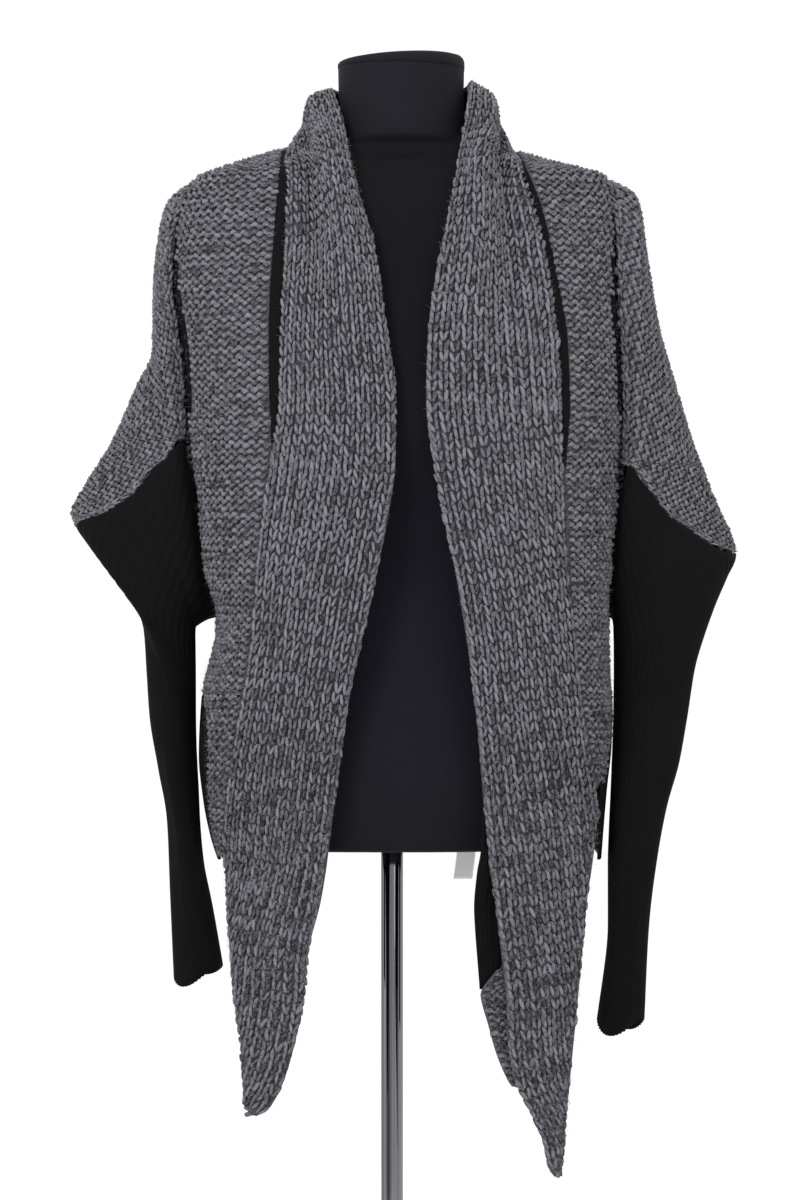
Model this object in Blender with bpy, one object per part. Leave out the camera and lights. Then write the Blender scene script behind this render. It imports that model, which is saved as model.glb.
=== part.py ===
"""Open-front batwing cardigan, draped on a limbless dress form with a pole stand.

Metres, +Z up. The origin is under the middle of the base plate, on the floor.
The front faces -Y. "Right" and "left" are the wearer's: right is -X, left is +X.
"""

import math

import bmesh
import bpy
import numpy as np

# Driving sizes of the knitwear.
KNIT_WALL = 0.0045
RIB_WALL = 0.0022
RIB_RISE = 0.0011
TRIM_WALL = 0.0030
SEAM_GAP = 0.0003
RIB_SEAM_GAP = 0.0028
UPPER_SEAM_GAP = 0.0012
BODY_CENTRE = 0.008
BODY_ROUNDNESS = 2.6
ARMHOLE_DEPTH = 0.054
UNDERARM_Z = 1.003
HEM_TOP_Z = 0.937
HEM_LOWEST_Z = 0.812
BACK_NECK_DROP = 0.009
NECK_PATH = 0.130
BAND_TIP = {"right": 0.577, "left": 0.523}
LABEL_WIDTH = 0.017
LABEL_LENGTH = 0.080
LABEL_THICKNESS = 0.0007
LABEL_TOP_Z = 0.850
LABEL_X = 0.075

# Driving sizes of the form and its stand.
FORM_BOTTOM_Z = 0.800
NECK_TOP_Z = 1.485
NECK_CAP_RISE = 0.0085
NECK_CAP_TILT = 0.38
POLE_RADIUS = 0.00975
BASE_RADIUS = 0.190
BASE_THICKNESS = 0.006
COLLAR_RADIUS = 0.026
COLLAR_HEIGHT = 0.045

# How finely each surface is divided.
RING_STEPS = 40
BODY_COLUMNS = 5
SIDE_ROWS = 3
BACK_COLUMNS = 12
RIBS_PER_BACK_COLUMN = 4
FORM_SIDES = 32
BAND_SHARES = (0.0, 0.10, 0.24, 0.42, 0.62, 0.80, 0.92, 1.0)
SLEEVE_SHARES = (0.0, 0.06, 0.16, 0.28, 0.40, 0.52, 0.64, 0.78, 0.90, 1.0)

SIDES = {"right": -1.0, "left": 1.0}


def smooth(key, values, where):
    """Reads a column between its rows, by a cubic that never overshoots them."""
    order = np.argsort(key)
    key, values = key[order], values[order]
    step = np.diff(key)
    rise = np.diff(values) / step
    same_way = rise[:-1] * rise[1:] > 0
    both = np.where(same_way, rise[:-1] + rise[1:], 1.0)
    inner = np.where(same_way, 2 * rise[:-1] * rise[1:] / both, 0.0)
    slope = np.concatenate([rise[:1], inner, rise[-1:]])
    where = np.clip(np.asarray(where, float), key[0], key[-1])
    row = np.clip(np.searchsorted(key, where) - 1, 0, len(step) - 1)
    part = (where - key[row]) / step[row]
    left = (1 + 2 * part) * (1 - part) ** 2 * values[row]
    right = part**2 * (3 - 2 * part) * values[row + 1]
    turn = part * (1 - part) ** 2 * slope[row] - part**2 * (1 - part) * slope[row + 1]
    return left + right + step[row] * turn


class Sections:
    """Rows of named columns; the first column is the key that the others are read at."""

    def __init__(self, names, *rows):
        self.columns = dict(zip(names.split(), np.array(rows, float).T))
        self.key = self.columns[names.split()[0]]

    def at(self, name, where):
        return smooth(self.key, self.columns[name], where)


# Where each side of the body ends: the shoulder ridge, then the armhole line, then the side.
BODY_EDGE = {
    "right": Sections(
        "z x",
        (1.4175, -0.0840), (1.4110, -0.0994), (1.3970, -0.1434), (1.3830, -0.1760),
        (1.3300, -0.1890), (1.2980, -0.1900), (1.2260, -0.1815), (1.1530, -0.1760),
        (1.1000, -0.1700), (1.0370, -0.1630), (1.0030, -0.1540), (0.9850, -0.1545),
        (0.9600, -0.1600), (0.9370, -0.1660), (0.8800, -0.1690), (0.8400, -0.1650),
        (0.8100, -0.1590), (0.7850, -0.1510),
    ),
    "left": Sections(
        "z x",
        (1.4170, 0.0925), (1.4100, 0.1080), (1.3985, 0.1470), (1.3860, 0.1900),
        (1.3300, 0.1950), (1.2890, 0.1955), (1.2260, 0.1985), (1.1800, 0.2000),
        (1.1250, 0.1975), (1.0500, 0.1925), (1.0030, 0.1900), (0.9600, 0.1905),
        (0.9200, 0.1930), (0.8875, 0.1920), (0.8500, 0.1880), (0.7500, 0.1800),
    ),
}  # fmt: skip

# How far the body's outer face stands before and behind the form's middle.
BODY_DEPTH = Sections(
    "z front back",
    (1.4175, 0.042, 0.056), (1.4072, 0.056, 0.068), (1.3883, 0.074, 0.082),
    (1.3606, 0.092, 0.095), (1.3248, 0.107, 0.104), (1.2808, 0.120, 0.109),
    (1.2377, 0.128, 0.110), (1.1862, 0.133, 0.109), (1.0840, 0.134, 0.106),
    (0.9800, 0.132, 0.106), (0.9300, 0.130, 0.109), (0.8300, 0.126, 0.116),
    (0.7600, 0.124, 0.118), (0.5200, 0.124, 0.118),
)  # fmt: skip

# Where the front band is sewn on, and where its own free edge hangs. Below the body's
# corner the band's outer edge is free too and runs in to the hanging point.
BAND_SEAM = {
    "right": Sections(
        "z x",
        (1.4150, -0.0880), (1.4072, -0.0886), (1.3606, -0.0911), (1.2808, -0.0939),
        (1.1862, -0.0956), (1.1352, -0.1035), (1.0330, -0.1163), (0.9820, -0.1208),
        (0.9308, -0.1278), (0.8795, -0.1368), (0.8283, -0.1441), (0.7940, -0.1465),
        (0.7170, -0.1414), (0.6742, -0.1369), (0.6399, -0.1315), (0.5770, -0.1275),
    ),
    "left": Sections(
        "z x",
        (1.4150, 0.1000), (1.4072, 0.1044), (1.3883, 0.1113), (1.3606, 0.1213),
        (1.3248, 0.1300), (1.2808, 0.1371), (1.2377, 0.1425), (1.1352, 0.1463),
        (1.0330, 0.1518), (0.9819, 0.1569), (0.9308, 0.1628), (0.8795, 0.1716),
        (0.8283, 0.1788), (0.7940, 0.1752), (0.7598, 0.1700), (0.6742, 0.1614),
        (0.6055, 0.1543), (0.5230, 0.1465),
    ),
}  # fmt: skip

# The free edge, by the way along the seam: minus is round the neck to the middle of the
# back, plus is down the front. "swell" lifts the middle of the band, "roll" turns the
# collar over: it raises the free half and sinks the sewn half.
BAND_EDGE = {
    "right": Sections(
        "path x y z swell roll",
        (-0.1300, 0.0080, 0.0715, 1.4640, 0.004, 0.000),
        (-0.0850, -0.0285, 0.0635, 1.4650, 0.005, 0.000),
        (-0.0400, -0.0500, 0.0380, 1.4720, 0.006, 0.002),
        (0.0000, -0.0535, -0.0020, 1.4700, 0.006, 0.004),
        (0.0110, -0.0410, -0.0470, 1.4310, 0.005, 0.008),
        (0.0280, -0.0355, -0.0680, 1.4020, 0.006, 0.013),
        (0.0550, -0.0275, -0.0890, 1.3650, 0.004, 0.014),
        (0.0900, -0.0162, -0.1080, 1.3260, 0.003, 0.012),
        (0.1340, -0.0086, -0.1220, 1.2810, 0.004, 0.007),
        (0.1770, -0.0027, -0.1310, 1.2370, 0.005, 0.003),
        (0.2290, 0.0029, -0.1360, 1.1860, 0.006, 0.000),
        (0.2800, 0.0035, -0.1370, 1.1345, 0.006, 0.000),
        (0.3310, -0.0032, -0.1365, 1.0840, 0.006, 0.000),
        (0.3820, -0.0139, -0.1350, 1.0330, 0.006, 0.000),
        (0.4840, -0.0366, -0.1310, 0.9312, 0.005, 0.000),
        (0.5860, -0.0515, -0.1280, 0.8292, 0.006, 0.000),
        (0.6530, -0.0617, -0.1240, 0.7612, 0.007, 0.000),
        (0.6960, -0.0716, -0.1200, 0.7188, 0.007, 0.000),
        (0.7390, -0.0758, -0.1150, 0.6762, 0.006, 0.000),
        (0.7730, -0.0821, -0.1110, 0.6421, 0.005, 0.000),
        (0.8080, -0.0935, -0.1070, 0.6020, 0.004, 0.000),
        (0.8380, -0.1085, -0.1020, 0.5740, 0.002, 0.000),
    ),
    "left": Sections(
        "path x y z swell roll",
        (-0.1300, 0.0080, 0.0715, 1.4640, 0.004, 0.000),
        (-0.0850, 0.0445, 0.0635, 1.4650, 0.005, 0.000),
        (-0.0400, 0.0665, 0.0380, 1.4780, 0.007, 0.002),
        (0.0000, 0.0705, -0.0020, 1.4780, 0.009, 0.004),
        (0.0110, 0.0650, -0.0440, 1.4420, 0.007, 0.009),
        (0.0280, 0.0590, -0.0680, 1.4030, 0.008, 0.014),
        (0.0550, 0.0510, -0.0890, 1.3650, 0.005, 0.016),
        (0.0900, 0.0430, -0.1080, 1.3260, 0.003, 0.014),
        (0.1340, 0.0350, -0.1220, 1.2810, 0.003, 0.009),
        (0.1770, 0.0299, -0.1310, 1.2370, 0.004, 0.005),
        (0.2290, 0.0287, -0.1360, 1.1860, 0.005, 0.002),
        (0.2800, 0.0356, -0.1370, 1.1345, 0.006, 0.000),
        (0.3310, 0.0446, -0.1365, 1.0840, 0.006, 0.000),
        (0.3820, 0.0549, -0.1350, 1.0330, 0.006, 0.000),
        (0.4840, 0.0710, -0.1310, 0.9312, 0.005, 0.000),
        (0.5860, 0.0809, -0.1280, 0.8292, 0.005, 0.000),
        (0.6530, 0.0888, -0.1250, 0.7612, 0.006, 0.000),
        (0.7390, 0.0976, -0.1190, 0.6762, 0.006, 0.000),
        (0.7750, 0.0993, -0.1160, 0.6421, 0.006, 0.000),
        (0.8080, 0.1053, -0.1130, 0.6080, 0.005, 0.000),
        (0.8400, 0.1199, -0.1090, 0.5760, 0.004, 0.000),
        (0.8620, 0.1290, -0.1050, 0.5540, 0.003, 0.000),
        (0.8920, 0.1345, -0.1000, 0.5230, 0.002, 0.000),
    ),
}  # fmt: skip

# The outer edge's depth once it hangs free below the body, by height.
BAND_FREE_Y = {
    "right": Sections("z y", (0.79, -0.070), (0.70, -0.082), (0.62, -0.092), (0.577, -0.097)),
    "left": Sections("z y", (0.84, -0.058), (0.76, -0.074), (0.64, -0.088), (0.515, -0.096)),
}

# Width of the black trim between the band and the body front, by height.
TRIM_WIDTH = {
    "right": Sections(
        "z width",
        (1.415, 0.0062), (1.320, 0.0080), (1.255, 0.0095), (1.190, 0.0080), (1.150, 0.0012),
    ),
    "left": Sections(
        "z width",
        (1.415, 0.0045), (1.320, 0.0050), (1.255, 0.0070), (1.190, 0.0072), (1.128, 0.0012),
    ),
}  # fmt: skip
TRIM_END_Z = {"right": 1.150, "left": 1.128}

# Heights of the rows over the shoulder ridge, from the neck out to the armhole.
SHOULDER_ROWS = {
    "right": (1.4145, 1.4100, 1.4040, 1.3970, 1.3900),
    "left": (1.4120, 1.4075, 1.4020, 1.3970, 1.3915),
}

# The body front's lower edge, where it meets the hem, from the side down to the band.
FRONT_CORNER = {
    "right": Sections(
        "z x",
        (0.937, -0.1640), (0.898, -0.1600), (0.860, -0.1602), (0.811, -0.1560), (0.790, -0.1500),
    ),
    "left": Sections(
        "z x",
        (0.937, 0.1925), (0.905, 0.1912), (0.880, 0.1880), (0.862, 0.1845), (0.852, 0.1800),
    ),
}  # fmt: skip

# Each sleeve ring spans from a point on the outer outline to one on the inner outline.
# The rings fan about the underarm: the first is the armhole, the last is the cuff.
SLEEVE = {
    "right": Sections(
        "ring outer_x outer_z inner_x inner_z half_depth middle_y",
        (0, -0.1760, 1.3830, -0.1540, 1.0030, 0.054, 0.000),
        (1, -0.1970, 1.3645, -0.1610, 1.0015, 0.063, 0.000),
        (2, -0.2086, 1.2950, -0.1665, 0.9990, 0.067, 0.000),
        (3, -0.2094, 1.2386, -0.1705, 0.9965, 0.065, 0.000),
        (4, -0.2253, 1.2008, -0.1745, 0.9930, 0.061, -0.001),
        (5, -0.2446, 1.1568, -0.1750, 0.9870, 0.056, -0.002),
        (6, -0.2693, 1.1163, -0.1748, 0.9780, 0.050, -0.004),
        (7, -0.2807, 1.0930, -0.1746, 0.9660, 0.046, -0.005),
        (8, -0.2690, 1.0720, -0.1744, 0.9520, 0.044, -0.006),
        (9, -0.2473, 1.0503, -0.1743, 0.9360, 0.042, -0.007),
        (10, -0.2270, 1.0222, -0.1742, 0.9150, 0.040, -0.008),
        (11, -0.2156, 0.9896, -0.1738, 0.8930, 0.038, -0.010),
        (12, -0.2130, 0.9535, -0.1728, 0.8720, 0.036, -0.012),
        (13, -0.2103, 0.9148, -0.1716, 0.8520, 0.034, -0.014),
        (14, -0.2024, 0.8690, -0.1700, 0.8220, 0.031, -0.019),
        (15, -0.1945, 0.8233, -0.1668, 0.7880, 0.029, -0.022),
        (16, -0.1918, 0.7582, -0.1585, 0.7460, 0.028, -0.022),
        (17, -0.1883, 0.6772, -0.1487, 0.6905, 0.027, -0.022),
    ),
    "left": Sections(
        "ring outer_x outer_z inner_x inner_z half_depth middle_y",
        (0, 0.1900, 1.3860, 0.1900, 1.0030, 0.054, 0.000),
        (1, 0.2140, 1.3710, 0.1935, 1.0020, 0.063, 0.000),
        (2, 0.2240, 1.3150, 0.1955, 1.0000, 0.068, 0.000),
        (3, 0.2335, 1.2580, 0.1965, 0.9960, 0.066, 0.000),
        (4, 0.2460, 1.2130, 0.1970, 0.9900, 0.062, -0.001),
        (5, 0.2620, 1.1600, 0.1970, 0.9820, 0.056, -0.002),
        (6, 0.2820, 1.1070, 0.1970, 0.9700, 0.050, -0.003),
        (7, 0.3010, 1.0600, 0.1970, 0.9520, 0.045, -0.004),
        (8, 0.2925, 1.0370, 0.1968, 0.9360, 0.043, -0.005),
        (9, 0.2834, 1.0160, 0.1965, 0.9220, 0.041, -0.006),
        (10, 0.2720, 0.9850, 0.1960, 0.9050, 0.040, -0.008),
        (11, 0.2640, 0.9580, 0.1955, 0.8900, 0.038, -0.010),
        (12, 0.2565, 0.9120, 0.1945, 0.8680, 0.036, -0.012),
        (13, 0.2495, 0.8740, 0.1935, 0.8450, 0.034, -0.014),
        (14, 0.2385, 0.8350, 0.1920, 0.8150, 0.032, -0.016),
        (15, 0.2300, 0.7900, 0.1910, 0.7820, 0.030, -0.018),
        (16, 0.2226, 0.7300, 0.1910, 0.7300, 0.028, -0.020),
        (17, 0.2182, 0.6380, 0.1797, 0.6370, 0.027, -0.020),
    ),
}  # fmt: skip

# Where grey knit gives way to black rib, as ring numbers by the angle from the sleeve's top.
SLEEVE_SEAM = {
    "right": Sections(
        "angle ring",
        (0, 7.8), (20, 7.4), (45, 6.3), (60, 5.4), (68, 4.7), (75, 3.6), (84, 2.5),
        (98, 1.2), (108, 0.15),
    ),
    "left": Sections(
        "angle ring",
        (0, 7.1), (25, 6.9), (45, 6.5), (60, 5.9), (75, 5.1), (84, 4.2), (92, 3.1),
        (99, 2.1), (106, 1.2), (117, 0.15),
    ),
}  # fmt: skip
UPPER_SLEEVE_REACH = {"right": 108.0, "left": 117.0}

# The dress form: half width, and depth before and behind its middle.
FORM = Sections(
    "z half_width front back",
    (1.485, 0.0555, 0.055, 0.055), (1.450, 0.0550, 0.055, 0.055), (1.430, 0.0560, 0.055, 0.056),
    (1.420, 0.0590, 0.054, 0.056), (1.4125, 0.0740, 0.046, 0.051), (1.4055, 0.0962, 0.047, 0.057),
    (1.3915, 0.1440, 0.059, 0.065), (1.3775, 0.1695, 0.070, 0.076), (1.3580, 0.1780, 0.082, 0.085),
    (1.3200, 0.1790, 0.098, 0.094), (1.2700, 0.1700, 0.111, 0.097), (1.2200, 0.1590, 0.118, 0.095),
    (1.1700, 0.1500, 0.120, 0.090), (1.1100, 0.1350, 0.108, 0.084), (1.0400, 0.1220, 0.093, 0.082),
    (0.9700, 0.1280, 0.096, 0.090), (0.9000, 0.1470, 0.103, 0.099), (0.8450, 0.1540, 0.105, 0.102),
    (0.8000, 0.1520, 0.101, 0.099),
)  # fmt: skip
FORM_LEVELS = (
    0.806, 0.830, 0.870, 0.920, 0.970, 1.010, 1.050, 1.100, 1.150, 1.190, 1.230, 1.270, 1.310,
    1.340, 1.362, 1.378, 1.390, 1.400, 1.408, 1.414, 1.420, 1.434,
)  # fmt: skip

# Points of the turned-back corner and of the hem's loose end that show past the left
# band, as fractions of the band's width, by height.
TURNBACK_REACH = Sections(
    "z reach",
    (0.745, 0.70), (0.705, 0.98), (0.678, 1.27), (0.650, 1.20), (0.606, 1.06), (0.585, 0.85),
)  # fmt: skip
LOOSE_HEM_REACH = Sections(
    "z reach",
    (0.855, 0.97), (0.805, 1.05), (0.785, 1.11), (0.735, 1.19), (0.682, 1.25),
)  # fmt: skip


def mix(first, second, part):
    return first + (second - first) * part


def unit(vectors):
    return vectors / np.linalg.norm(vectors, axis=-1, keepdims=True)


def ease(part):
    """0 to 1 with level ends."""
    part = np.clip(part, 0.0, 1.0)
    return part * part * (3 - 2 * part)


def armhole_angle(side, z):
    """The angle round the armhole ring at a height: 0 on the shoulder, pi under the arm."""
    top = SLEEVE[side].columns["outer_z"][0]
    middle, half = (top + UNDERARM_Z) / 2, (top - UNDERARM_Z) / 2
    return np.arccos(np.clip((z - middle) / half, -1.0, 1.0))


def armhole_height(side, angle):
    top = SLEEVE[side].columns["outer_z"][0]
    return (top + UNDERARM_Z) / 2 + (top - UNDERARM_Z) / 2 * np.cos(angle)


def half_width(side, z, face):
    """Half the body's width at a height, so that its face meets the armhole ring."""
    depth = BODY_DEPTH.at(face, z)
    cut = ARMHOLE_DEPTH * np.sin(armhole_angle(side, z))
    reach = np.abs(BODY_EDGE[side].at("x", z) - BODY_CENTRE)
    return reach / (1 - (cut / depth) ** BODY_ROUNDNESS) ** (1 / BODY_ROUNDNESS)


def turn_of(side, x, z, face):
    """The angle round the body at which it passes x: 0 in the middle, 90 degrees at the side."""
    share = np.clip(np.abs(x - BODY_CENTRE) / half_width(side, z, face), 0.0, 1.0)
    return np.arcsin(share ** (BODY_ROUNDNESS / 2))


def back_wave(x, z):
    """Soft upright folds in the lower back, which the hem shares."""
    low = ease((1.20 - z) / 0.30)
    return 0.0045 * low * np.sin((x - BODY_CENTRE) * 2 * math.pi / 0.098)


def body_point(side, turn, z, face):
    """A point of the body's outer face, and the direction into its wall."""
    wide, deep = half_width(side, z, face), BODY_DEPTH.at(face, z)
    sign = SIDES[side]
    way = -1.0 if face == "front" else 1.0
    power = 2 / BODY_ROUNDNESS
    across = np.maximum(np.sin(turn), 0.0) ** power
    along = np.maximum(np.cos(turn), 0.0) ** power
    x = BODY_CENTRE + sign * wide * across
    y = way * deep * along
    if face == "back":
        y = y + back_wave(x, z) * along
    small = 0.001
    wider = (half_width(side, z + small, face) - half_width(side, z - small, face)) / (2 * small)
    deeper = (BODY_DEPTH.at(face, z + small) - BODY_DEPTH.at(face, z - small)) / (2 * small)
    share = BODY_ROUNDNESS - 1
    out_x = across**share / wide
    out_y = along**share / deep
    out_z = -(across**BODY_ROUNDNESS * wider / wide + along**BODY_ROUNDNESS * deeper / deep)
    out = np.stack([sign * out_x, way * out_y, out_z], axis=-1)
    return np.stack([x, y, z + 0 * x], axis=-1), -unit(out)


def ring_inward(side, angle, way):
    """The direction into the wall round the armhole ring, in the ring's own plane."""
    top = SLEEVE[side].columns["outer_z"][0]
    half = (top - UNDERARM_Z) / 2
    out = np.stack([0 * angle, way * np.sin(angle) / ARMHOLE_DEPTH, np.cos(angle) / half], axis=-1)
    return -unit(out)


def sleeve_point(side, angle, ring):
    """A point of a sleeve's outer face. The angle runs from the top round the front."""
    table = SLEEVE[side]
    outer = np.stack([table.at("outer_x", ring), table.at("outer_z", ring)], axis=-1)
    inner = np.stack([table.at("inner_x", ring), table.at("inner_z", ring)], axis=-1)
    spread = np.cos(angle)[..., None]
    flat = (outer + inner) / 2 + (outer - inner) / 2 * spread
    y = table.at("middle_y", ring) - table.at("half_depth", ring) * np.sin(angle)
    start_z = armhole_height(side, angle)
    start_x = BODY_EDGE[side].at("x", start_z)
    straight_x = mix(table.at("outer_x", 0), table.at("inner_x", 0), (1 - np.cos(angle)) / 2)
    bow = (start_x - straight_x) * (1 - ease(ring / 2.0))
    return np.stack([flat[..., 0] + bow, y, flat[..., 1]], axis=-1)


def sleeve_inward(side, angle, ring):
    small = 0.02
    across = sleeve_point(side, angle + small, ring) - sleeve_point(side, angle - small, ring)
    along = sleeve_point(side, angle, ring + small) - sleeve_point(side, angle, ring - small)
    into = unit(np.cross(along, across)) * SIDES[side]
    turn = np.arctan2(np.sin(angle), np.cos(angle))
    at_armhole = ring_inward(side, np.abs(turn), -np.sign(turn))
    return unit(mix(at_armhole, into, ease(ring / 1.5)[..., None]))


def seam_x(side, z):
    return BAND_SEAM[side].at("x", z)


def front_inner_x(side, z):
    """The body front's inner edge: the band's seam, moved out by the trim's width."""
    width = np.where(z >= TRIM_END_Z[side] - 1e-6, TRIM_WIDTH[side].at("width", z), 0.0)
    x = seam_x(side, z) + SIDES[side] * width
    ridge = BODY_EDGE[side].at("x", z)
    above = z > SLEEVE[side].columns["outer_z"][0]
    limit = np.minimum(np.abs(x - BODY_CENTRE), np.abs(ridge - BODY_CENTRE))
    return np.where(above, BODY_CENTRE + SIDES[side] * limit, x)


def stations(side):
    """Heights that every piece on one side shares: shoulder, armhole, side seam, corner."""
    armhole = armhole_height(side, np.linspace(0, math.pi, RING_STEPS // 2 + 1))
    seam = np.linspace(UNDERARM_Z, HEM_TOP_Z, SIDE_ROWS + 1)[1:]
    corner = FRONT_CORNER[side].columns["z"][1:]
    first = len(SHOULDER_ROWS[side])
    underarm = first + RING_STEPS // 2
    z = np.concatenate([SHOULDER_ROWS[side], armhole, seam, corner])
    return z, {"armhole": first, "underarm": underarm, "hem": underarm + SIDE_ROWS}


def trimmed(grid, inward, *edges, gap=SEAM_GAP):
    """Draws the named edges of a grid back by half a seam gap, in the cloth's own plane."""
    grid = grid.copy()
    places = {
        "top": (np.s_[0], np.s_[1]),
        "bottom": (np.s_[-1], np.s_[-2]),
        "first": (np.s_[:, 0], np.s_[:, 1]),
        "last": (np.s_[:, -1], np.s_[:, -2]),
    }
    for edge in edges:
        at, inside = places[edge]
        square = unit(np.cross(inward[at], np.gradient(grid[at], axis=0)))
        toward = np.sign(((grid[inside] - grid[at]) * square).sum())
        grid[at] = grid[at] + toward * square * gap / 2
    return grid


def material(name, colour, roughness, metallic=0.0):
    made = bpy.data.materials.get(name) or bpy.data.materials.new(name)
    made.use_nodes = True
    shader = made.node_tree.nodes["Principled BSDF"]
    shader.inputs["Base Color"].default_value = (*colour, 1.0)
    shader.inputs["Roughness"].default_value = roughness
    shader.inputs["Metallic"].default_value = metallic
    made.diffuse_color = (*colour, 1.0)
    return made


def grey_knit():
    return material("grey_marl_knit", (0.085, 0.085, 0.09), 0.95)


def black_rib():
    return material("black_rib_knit", (0.008, 0.008, 0.009), 0.95)


def black_jersey():
    return material("black_form_jersey", (0.012, 0.011, 0.016), 0.85)


def add_object(name, mesh, finish):
    mesh.normal_update()
    data = bpy.data.meshes.new(name)
    mesh.to_mesh(data)
    mesh.free()
    data.materials.append(finish)
    data.shade_smooth()
    data.set_sharp_from_angle(angle=math.radians(40))
    made = bpy.data.objects.new(name, data)
    bpy.context.scene.collection.objects.link(made)
    return made


def wall(name, outer, inner, finish, closed=False):
    """One closed wall between two grids of points, ring-shaped where closed."""
    mesh = bmesh.new()
    rows, columns = outer.shape[:2]
    faces = [[[mesh.verts.new(p) for p in row] for row in grid] for grid in (outer, inner)]
    across = columns if closed else columns - 1
    for row in range(rows - 1):
        for column in range(across):
            after = (column + 1) % columns
            for skin, order in ((faces[0], 1), (faces[1], -1)):
                upper, lower = skin[row], skin[row + 1]
                ring = (upper[column], upper[after], lower[after], lower[column])
                mesh.faces.new(ring[::order])
    partner = {}
    for row in range(rows):
        for column in range(columns):
            partner[faces[0][row][column]] = faces[1][row][column]
    rims = [edge for edge in mesh.edges if edge.is_boundary and edge.verts[0] in partner]
    for edge in rims:
        first, second = edge.verts
        mesh.faces.new((first, second, partner[second], partner[first]))
    bmesh.ops.recalc_face_normals(mesh, faces=mesh.faces)
    return add_object(name, mesh, finish)


def body_grid(side, turns, z, face):
    """Points and inward directions for a body panel, one row per height."""
    return body_point(side, turns, np.repeat(z[:, None], turns.shape[1], axis=1), face)


def with_armhole_rim(side, inward, shares, z, marks, face):
    """Turns the wall to the armhole ring's own direction near the armhole."""
    angle = armhole_angle(side, z)
    way = -1.0 if face == "front" else 1.0
    ring = ring_inward(side, angle, way)[:, None, :]
    rows = np.arange(len(z))
    in_armhole = ((rows >= marks["armhole"]) & (rows <= marks["underarm"])).astype(float)
    blend = (ease((shares - 0.5) / 0.5) * in_armhole[:, None])[..., None]
    return unit(mix(inward, ring, blend))


def front_panel(side):
    """The body front: from the trim or the band out to the shoulder, armhole, side and hem."""
    z, marks = stations(side)
    z = z[1:]
    marks = {key: value - 1 for key, value in marks.items()}
    inner_turn = turn_of(side, front_inner_x(side, z), z, "front")
    edge_x = BODY_EDGE[side].at("x", z)
    outer_turn = turn_of(side, edge_x, z, "front")
    outer_turn[: marks["armhole"] + 1] = math.pi / 2
    outer_turn[marks["underarm"] : marks["hem"] + 1] = math.pi / 2
    corner = turn_of(side, FRONT_CORNER[side].at("x", z), z, "front")
    outer_turn[marks["hem"] + 1 :] = corner[marks["hem"] + 1 :]
    share = np.linspace(0, 1, BODY_COLUMNS + 1)
    turns = mix(inner_turn[:, None], outer_turn[:, None], share[None, :])
    points, inward = body_grid(side, turns, z, "front")
    shares = np.broadcast_to(share, turns.shape)
    inward = with_armhole_rim(side, inward, shares, z, marks, "front")
    outer = trimmed(points, inward, "first", "last")
    outer[marks["underarm"], -1, 1] -= SEAM_GAP / 2
    return wall("front_" + side, outer, outer + inward * KNIT_WALL, grey_knit())


def back_edge(side):
    z, marks = stations(side)
    z = z[: marks["hem"] + 1]
    turn = turn_of(side, BODY_EDGE[side].at("x", z), z, "back")
    turn[: marks["armhole"] + 1] = math.pi / 2
    turn[marks["underarm"] :] = math.pi / 2
    return z, turn, marks


def back_grid():
    """The back: points and inward directions, one row per station, right side first."""
    half = BACK_COLUMNS // 2
    share = np.linspace(0, 1, half + 1)
    middle = (back_edge("right")[0] + back_edge("left")[0]) / 2
    grids = []
    for side in SIDES:
        z, turn, marks = back_edge(side)
        drop = BACK_NECK_DROP * (1 - ease(np.arange(len(z)) / 10))
        turns = turn[:, None] * share[None, :]
        level = mix((middle - drop)[:, None], z[:, None], ease(share)[None, :])
        points, inward = body_point(side, turns, level, "back")
        shares = np.broadcast_to(share, turns.shape)
        inward = with_armhole_rim(side, inward, shares, z, marks, "back")
        grids.append((points, inward))
    (right, right_in), (left, left_in) = grids
    points = np.concatenate([right[:, ::-1], left[:, 1:]], axis=1)
    inward = np.concatenate([right_in[:, ::-1], left_in[:, 1:]], axis=1)
    return points, inward


def back_panel():
    points, inward = back_grid()
    outer = trimmed(points, inward, "top", "bottom", "first", "last")
    underarm = stations("right")[1]["underarm"]
    outer[underarm, [0, -1], 1] += SEAM_GAP / 2
    return wall("back", outer, outer + inward * KNIT_WALL, grey_knit())


def trim_strip(side):
    """The narrow black trim between the band and the body front."""
    z, _ = stations(side)
    z = z[z >= TRIM_END_Z[side] - 1e-6]
    inner_turn = turn_of(side, seam_x(side, z), z, "front")
    outer_turn = turn_of(side, front_inner_x(side, z), z, "front")
    share = np.array([0.0, 0.5, 1.0])
    turns = mix(inner_turn[:, None], outer_turn[:, None], share[None, :])
    points, inward = body_grid(side, turns, z, "front")
    outer = trimmed(points, inward, "top", "first", "last")
    return wall("trim_" + side, outer, outer + inward * TRIM_WALL, black_rib())


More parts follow.
